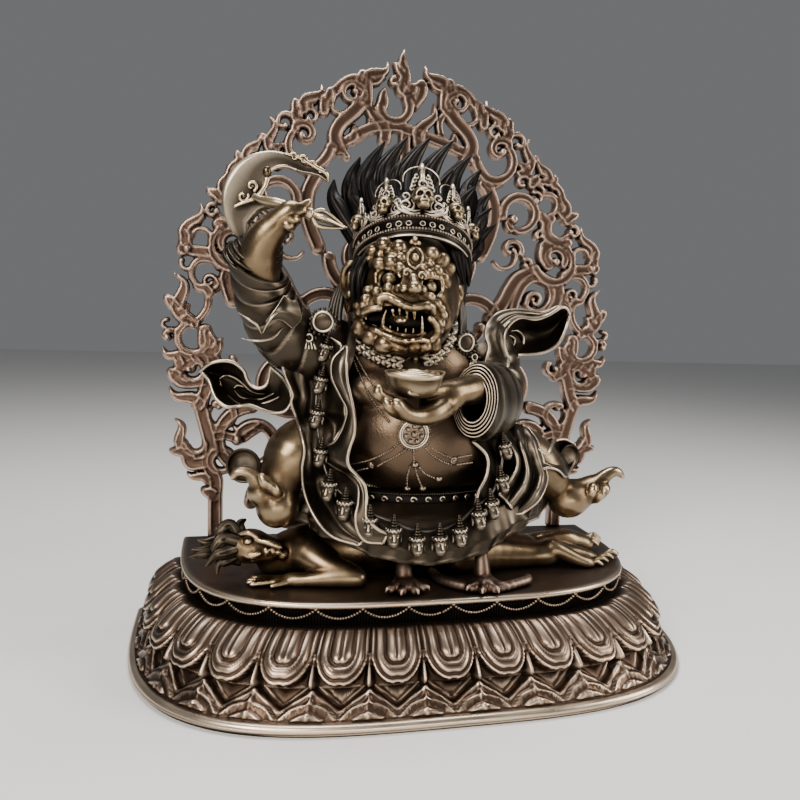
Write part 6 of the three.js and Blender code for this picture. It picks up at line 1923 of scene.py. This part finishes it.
def make_corpse():
    clay = Clay((-108, -34, 45), (132, 34, 74), 0.75)
    for places, size, blend, cut in PRONE_FACE:
        points = PRONE_HEAD.at(places)
        if len(points) == 1:
            clay.ball(points[0], size, blend, cut)
        else:
            clay.path(points, size, blend, count=9)
    clay.path([(-76, 4, 54), (-56, 6, 57), (-10, 8, 58), (60, 6, 53)], (9, 12.5, 14, 8), 4)
    clay.ball((-60, 0, 58), (9.5, 9, 8), 3)
    clay.path([(-60, -4, 58), (-50, -12, 53), (-38, -18, 50)], (8.0, 6.4, 4.8), 3)
    clay.path([(-37, -18.6, 49.6), (-50, -17, 49.6), (-62, -15.5, 48.6), (-70, -13.5, 48.2)],
              (4.9, 4.6, 3.0, 3.2), 2)
    clay.ball((-73, -12.5, 48), (6, 4.6, 2.4), 1.5)
    for k, (dx, dy) in enumerate([(-15.5, -2.2), (-17, 0.2), (-16.6, 2.8), (-14.6, 5.2)]):
        clay.rod((-74, -12.5 + dy * 0.8, 48), (-72 + dx, -12 + dy * 1.3, 47.4), 1.5, 1.15, 0.8)
    clay.rod((-70, -16, 48), (-78, -18.5, 47.4), 1.5, 1.1, 0.8)
    clay.path([(20, -2, 55), (40, 0, 53), (62, -1, 52), (72, -2, 53)], (11, 8.6, 5.6, 5.4), 3)
    clay.ball((72, -2, 57), (3.6, 3.4, 3.6), 1.5)
    clay.path(NEAR_SOLE, (4.2, 3.4, 2.7, 2.2), 2)
    clay.path(NEAR_INSTEP, (4.4, 4.0, 2.9), 2)
    for k in range(4):
        clay.path(NEAR_TOE + vec(5 * k, 3.6 * k, 0.6 * k), (1.2, 1.45, 1.25), 0.5, count=6)
    clay.path([(58, 12, 52), *FAR_FOOT], (6, 5, 4.2, 3.2), 3)
    for k in range(4):
        clay.path(FAR_TOE + vec(2.2 * k, 3.4 * k, 0.5), (1.4, 1.6, 1.3), 0.5, count=6)
    clay.above(SLAB_TOP)
    cast("corpse", clay.skin(), SKIN)
    locks = []
    for path, width in CORPSE_LOCKS:
        locks.append(grooved_lock(smooth(PRONE_HEAD.at(path), 26), width, (0, 1, 0), 5))
    cast("corpse_hair", joined(locks), CLOTH)


def make_paws():
    clay = Clay((-32, -44, 45), (52, -2, 80), 0.6)
    for x, y in ((-15, -27), (24, -30)):
        clay.path([(x + 1, y + 8, 78), (x, y + 4, 62), (x, y + 1, 50)], (3.6, 2.6, 4.0), 2)
        clay.ball((x, y - 2, 49), (7.2, 6, 3.8), 2)
        for k in range(4):
            a = math.radians(-150 + k * 40)
            tip = vec(x + math.cos(a) * 9, y - 2 + math.sin(a) * 7, 48.4)
            clay.rod((x + math.cos(a) * 4, y - 2 + math.sin(a) * 3, 49.5), tip, 2.4, 2.2, 1)
            clay.path([tip + vec(0, 0, 1), tip + vec(math.cos(a) * 2.4, math.sin(a) * 2.4, 0.8),
                       tip + vec(math.cos(a) * 3.4, math.sin(a) * 3.4, -1.2)], (1.2, 0.9, 0.3), 0.4)
    clay.path([(3, -10, 48), (6, -24, 48), (16, -34, 48), (30, -36, 48), (46, -30, 48.4), (49, -27, 49)],
              (2.4, 2.4, 2.4, 2.4, 2.2, 1.6), 1, count=30)
    clay.above(SLAB_TOP)
    cast("paws", clay.skin(), COPPER)


# The bead strings over the belly and over the chest
BELLY_STRINGS = [
    [(700, 880, 1), (640, 930, 1), (560, 970, 1), (480, 1000, 1), (370, 1020, 1)],
    [(750, 925, 1), (680, 970, 1), (600, 1010, 1), (560, 1035, 1)], [(490, 1050, 1), (410, 1068, 1)],
    [(890, 870, 1), (950, 920, 1), (1010, 955, 1), (1060, 975, 1)],
    [(880, 900, 1), (940, 960, 1), (1010, 1005, 1), (1070, 1025, 1)],
    [(1120, 975, 1), (1210, 960, 1)], [(1110, 1025, 1), (1215, 1010, 1)],
    [(808, 915, 1), (810, 970, 1), (812, 1005, 1)],
    [(785, 1040, 1), (765, 1110, 1), (765, 1180, 1)], [(820, 1050, 1), (840, 1120, 1), (870, 1185, 1)],
    [(850, 1045, 1), (890, 1090, 1), (950, 1115, 1), (980, 1125, 1)],
]
CHEST_STRINGS = [
    [(380, 250, 1.5), (430, 370, 1.5), (500, 520, 1.5), (580, 640, 1.5), (670, 740, 1.5)],
    [(400, 240, 1.5), (470, 370, 1.5), (540, 480, 1.5)],
]


# The belly's badge, bows and pendants
BADGE = LOWER_HAND.on(BELLY, (812, 815, 2))
BOWS = LOWER_HAND.on(BELLY, [(522, 1025, 1.2), (1085, 995, 1.2)])
PENDANTS = LOWER_HAND.on(BELLY, [(818, 1025, 1.4), (765, 1190, 1), (872, 1190, 1), (985, 1125, 1)])


# The snake's line, and its head
SNAKE = np.concatenate([
    LOWER_HAND.on(CHEST, [(335, 190, 2), (330, 300, 2.5)]),
    LOWER_HAND.on(BELLY, [
        (345, 420, 3), (370, 560, 3), (385, 690, 3), (360, 850, 3), (335, 950, 3), (350, 1040, 3),
        (420, 1110, 3), (530, 1160, 3), (700, 1200, 3),
    ]),
])
SNAKE_HEAD = LOWER_HAND.on(BELLY, (780, 1225, 3))


def make_jewels():
    forms = []
    t = np.linspace(0, 2 * math.pi, 49)
    circle = lambda r, lift=0: np.stack([np.cos(t) * r, 0 * t - lift, np.sin(t) * r], 1)
    badge = [globe((0, 1, 0), (6.6, 1.2, 6.6), 8, 28), pipe(circle(6.9), (0.55, 0.55), 6),
             pipe(circle(5.9), (0.35, 0.35), 6), beads(circle(7.9), 0.5, 1.2, 4, 6),
             globe((0, -0.7, 0), (1.7, 1.2, 1.7), 6, 12)]
    for k in range(7):
        a = k * 2 * math.pi / 7 + 1.57
        badge.append(globe((math.cos(a) * 3.9, -0.6, math.sin(a) * 3.9), (1.25, 0.8, 1.25), 6, 10))
    forms.append(turned(joined(badge), spin("x", 8), BADGE))
    for ball, lines in ((BELLY, BELLY_STRINGS), (CHEST, CHEST_STRINGS)):
        for line in lines:
            string = smooth(LOWER_HAND.on(ball, line), 40)
            forms.append(beads(body_clay.land(string, 0.3), 0.6, 1.25, 5, 6))
    for place in BOWS:
        place = body_clay.land(place, 0.6)[0]
        for a in (0, 45):
            forms.append(turned(globe((0, 0, 0), (2.6, 0.9, 2.6), 3, 4), spin("y", a), place))
        forms.append(globe(vec(*place) + vec(0, -0.8, 0), (0.9, 0.7, 0.9), 5, 8))
    for place in PENDANTS:
        forms.append(globe(body_clay.land(place, 0.5)[0], (1.9, 1.4, 1.5), 6, 9))
    cast("jewels", joined(forms), PALE)
    snake = smooth(body_clay.land(smooth(SNAKE, 420)[::14], 1.2), 420)
    along, across, up = frames(snake)
    radius = (1.7 + 0.25 * np.sin(np.arange(len(snake)) * 1.5))[:, None]
    body = grid(rings(snake, across, up, radius, radius, 10), close_u=True)
    tip = globe(SNAKE_HEAD, (4.4, 1.8, 1.8), 8, 12)
    cast("snake_garland", joined([body, tip]), SKIN)


# The mane's edge on both sides of the beard
COLLAR_LEFT = FACE.on(CHEST, [(20, 960, 3), (130, 1060, 4), (250, 1130, 4.5), (380, 1190, 5),
                              (520, 1225, 5)])
COLLAR_RIGHT = FACE.on(CHEST, [(730, 1200, 5), (830, 1180, 4.5), (930, 1060, 4), (960, 960, 3)])


def make_collar():
    forms = []
    rim = np.concatenate([smooth(COLLAR_LEFT, 15), smooth(COLLAR_RIGHT, 9)])
    for i, p in enumerate(rim):
        for k in range(3):
            s = 1 if (i + k) % 2 else -1
            start = p + vec(0, 1, 2.5 - 1.8 * k)
            wavy = [start, start + vec(1.6 * s, -1, -1.4), start + vec(-0.8 * s, -1.4, -2.8),
                    start + vec(1.0 * s, -0.8, -4.2)]
            forms.append(pipe(smooth(wavy, 10), (0.9, 1.35, 0.6), 7))
    cast("mane_collar", joined(forms), CLOTH)


make_knife()
make_bowl()
make_garland()
make_corpse()
make_paws()
make_jewels()
make_collar()


# The studio: a pale floor, a pale surround and soft lamps

FLOOR_TONE = (0.78, 0.77, 0.75)


def make_floor():
    mesh = bpy.data.meshes.new("floor")
    far = 3.0
    mesh.from_pydata([(-far, -far, 0), (far, -far, 0), (far, far, 0), (-far, far, 0)], [], [(0, 1, 2, 3)])
    floor = bpy.data.objects.new("floor", mesh)
    bpy.context.collection.objects.link(floor)
    tone = bpy.data.materials.new("floor_tone")
    tone.use_nodes = True
    shader = tone.node_tree.nodes["Principled BSDF"]
    shader.inputs["Base Color"].default_value = (*FLOOR_TONE, 1)
    shader.inputs["Roughness"].default_value = 0.85
    mesh.materials.append(tone)


def lamp(name, place, aim, size, power, tone=(1, 1, 1)):
    data = bpy.data.lights.new(name, "AREA")
    data.shape = "RECTANGLE"
    data.size, data.size_y = size
    data.energy = power
    data.color = tone
    light = bpy.data.objects.new(name, data)
    light.location = place
    light.rotation_mode = "QUATERNION"
    light.rotation_quaternion = (Vector(aim) - Vector(place)).to_track_quat("-Z", "Y")
    bpy.context.collection.objects.link(light)


def make_studio():
    world = bpy.data.worlds.new("studio")
    world.use_nodes = True
    shade = world.node_tree.nodes["Background"]
    shade.inputs["Color"].default_value = (0.80, 0.82, 0.85, 1)
    shade.inputs["Strength"].default_value = 0.2
    bpy.context.scene.world = world
    middle = (0, 0, 0.15)
    lamp("key", (-0.55, -0.75, 0.75), middle, (0.45, 0.45), 13, (1, 0.95, 0.88))
    lamp("side", (0.8, -0.35, 0.45), middle, (0.25, 0.7), 6.5, (1, 0.96, 0.9))
    lamp("top", (0, 0.1, 0.95), middle, (0.6, 0.25), 8, (0.95, 0.97, 1))
    lamp("low", (-0.1, -0.9, 0.12), (0, 0, 0.1), (0.9, 0.12), 3.2, (1, 0.93, 0.84))


make_floor()
make_studio()
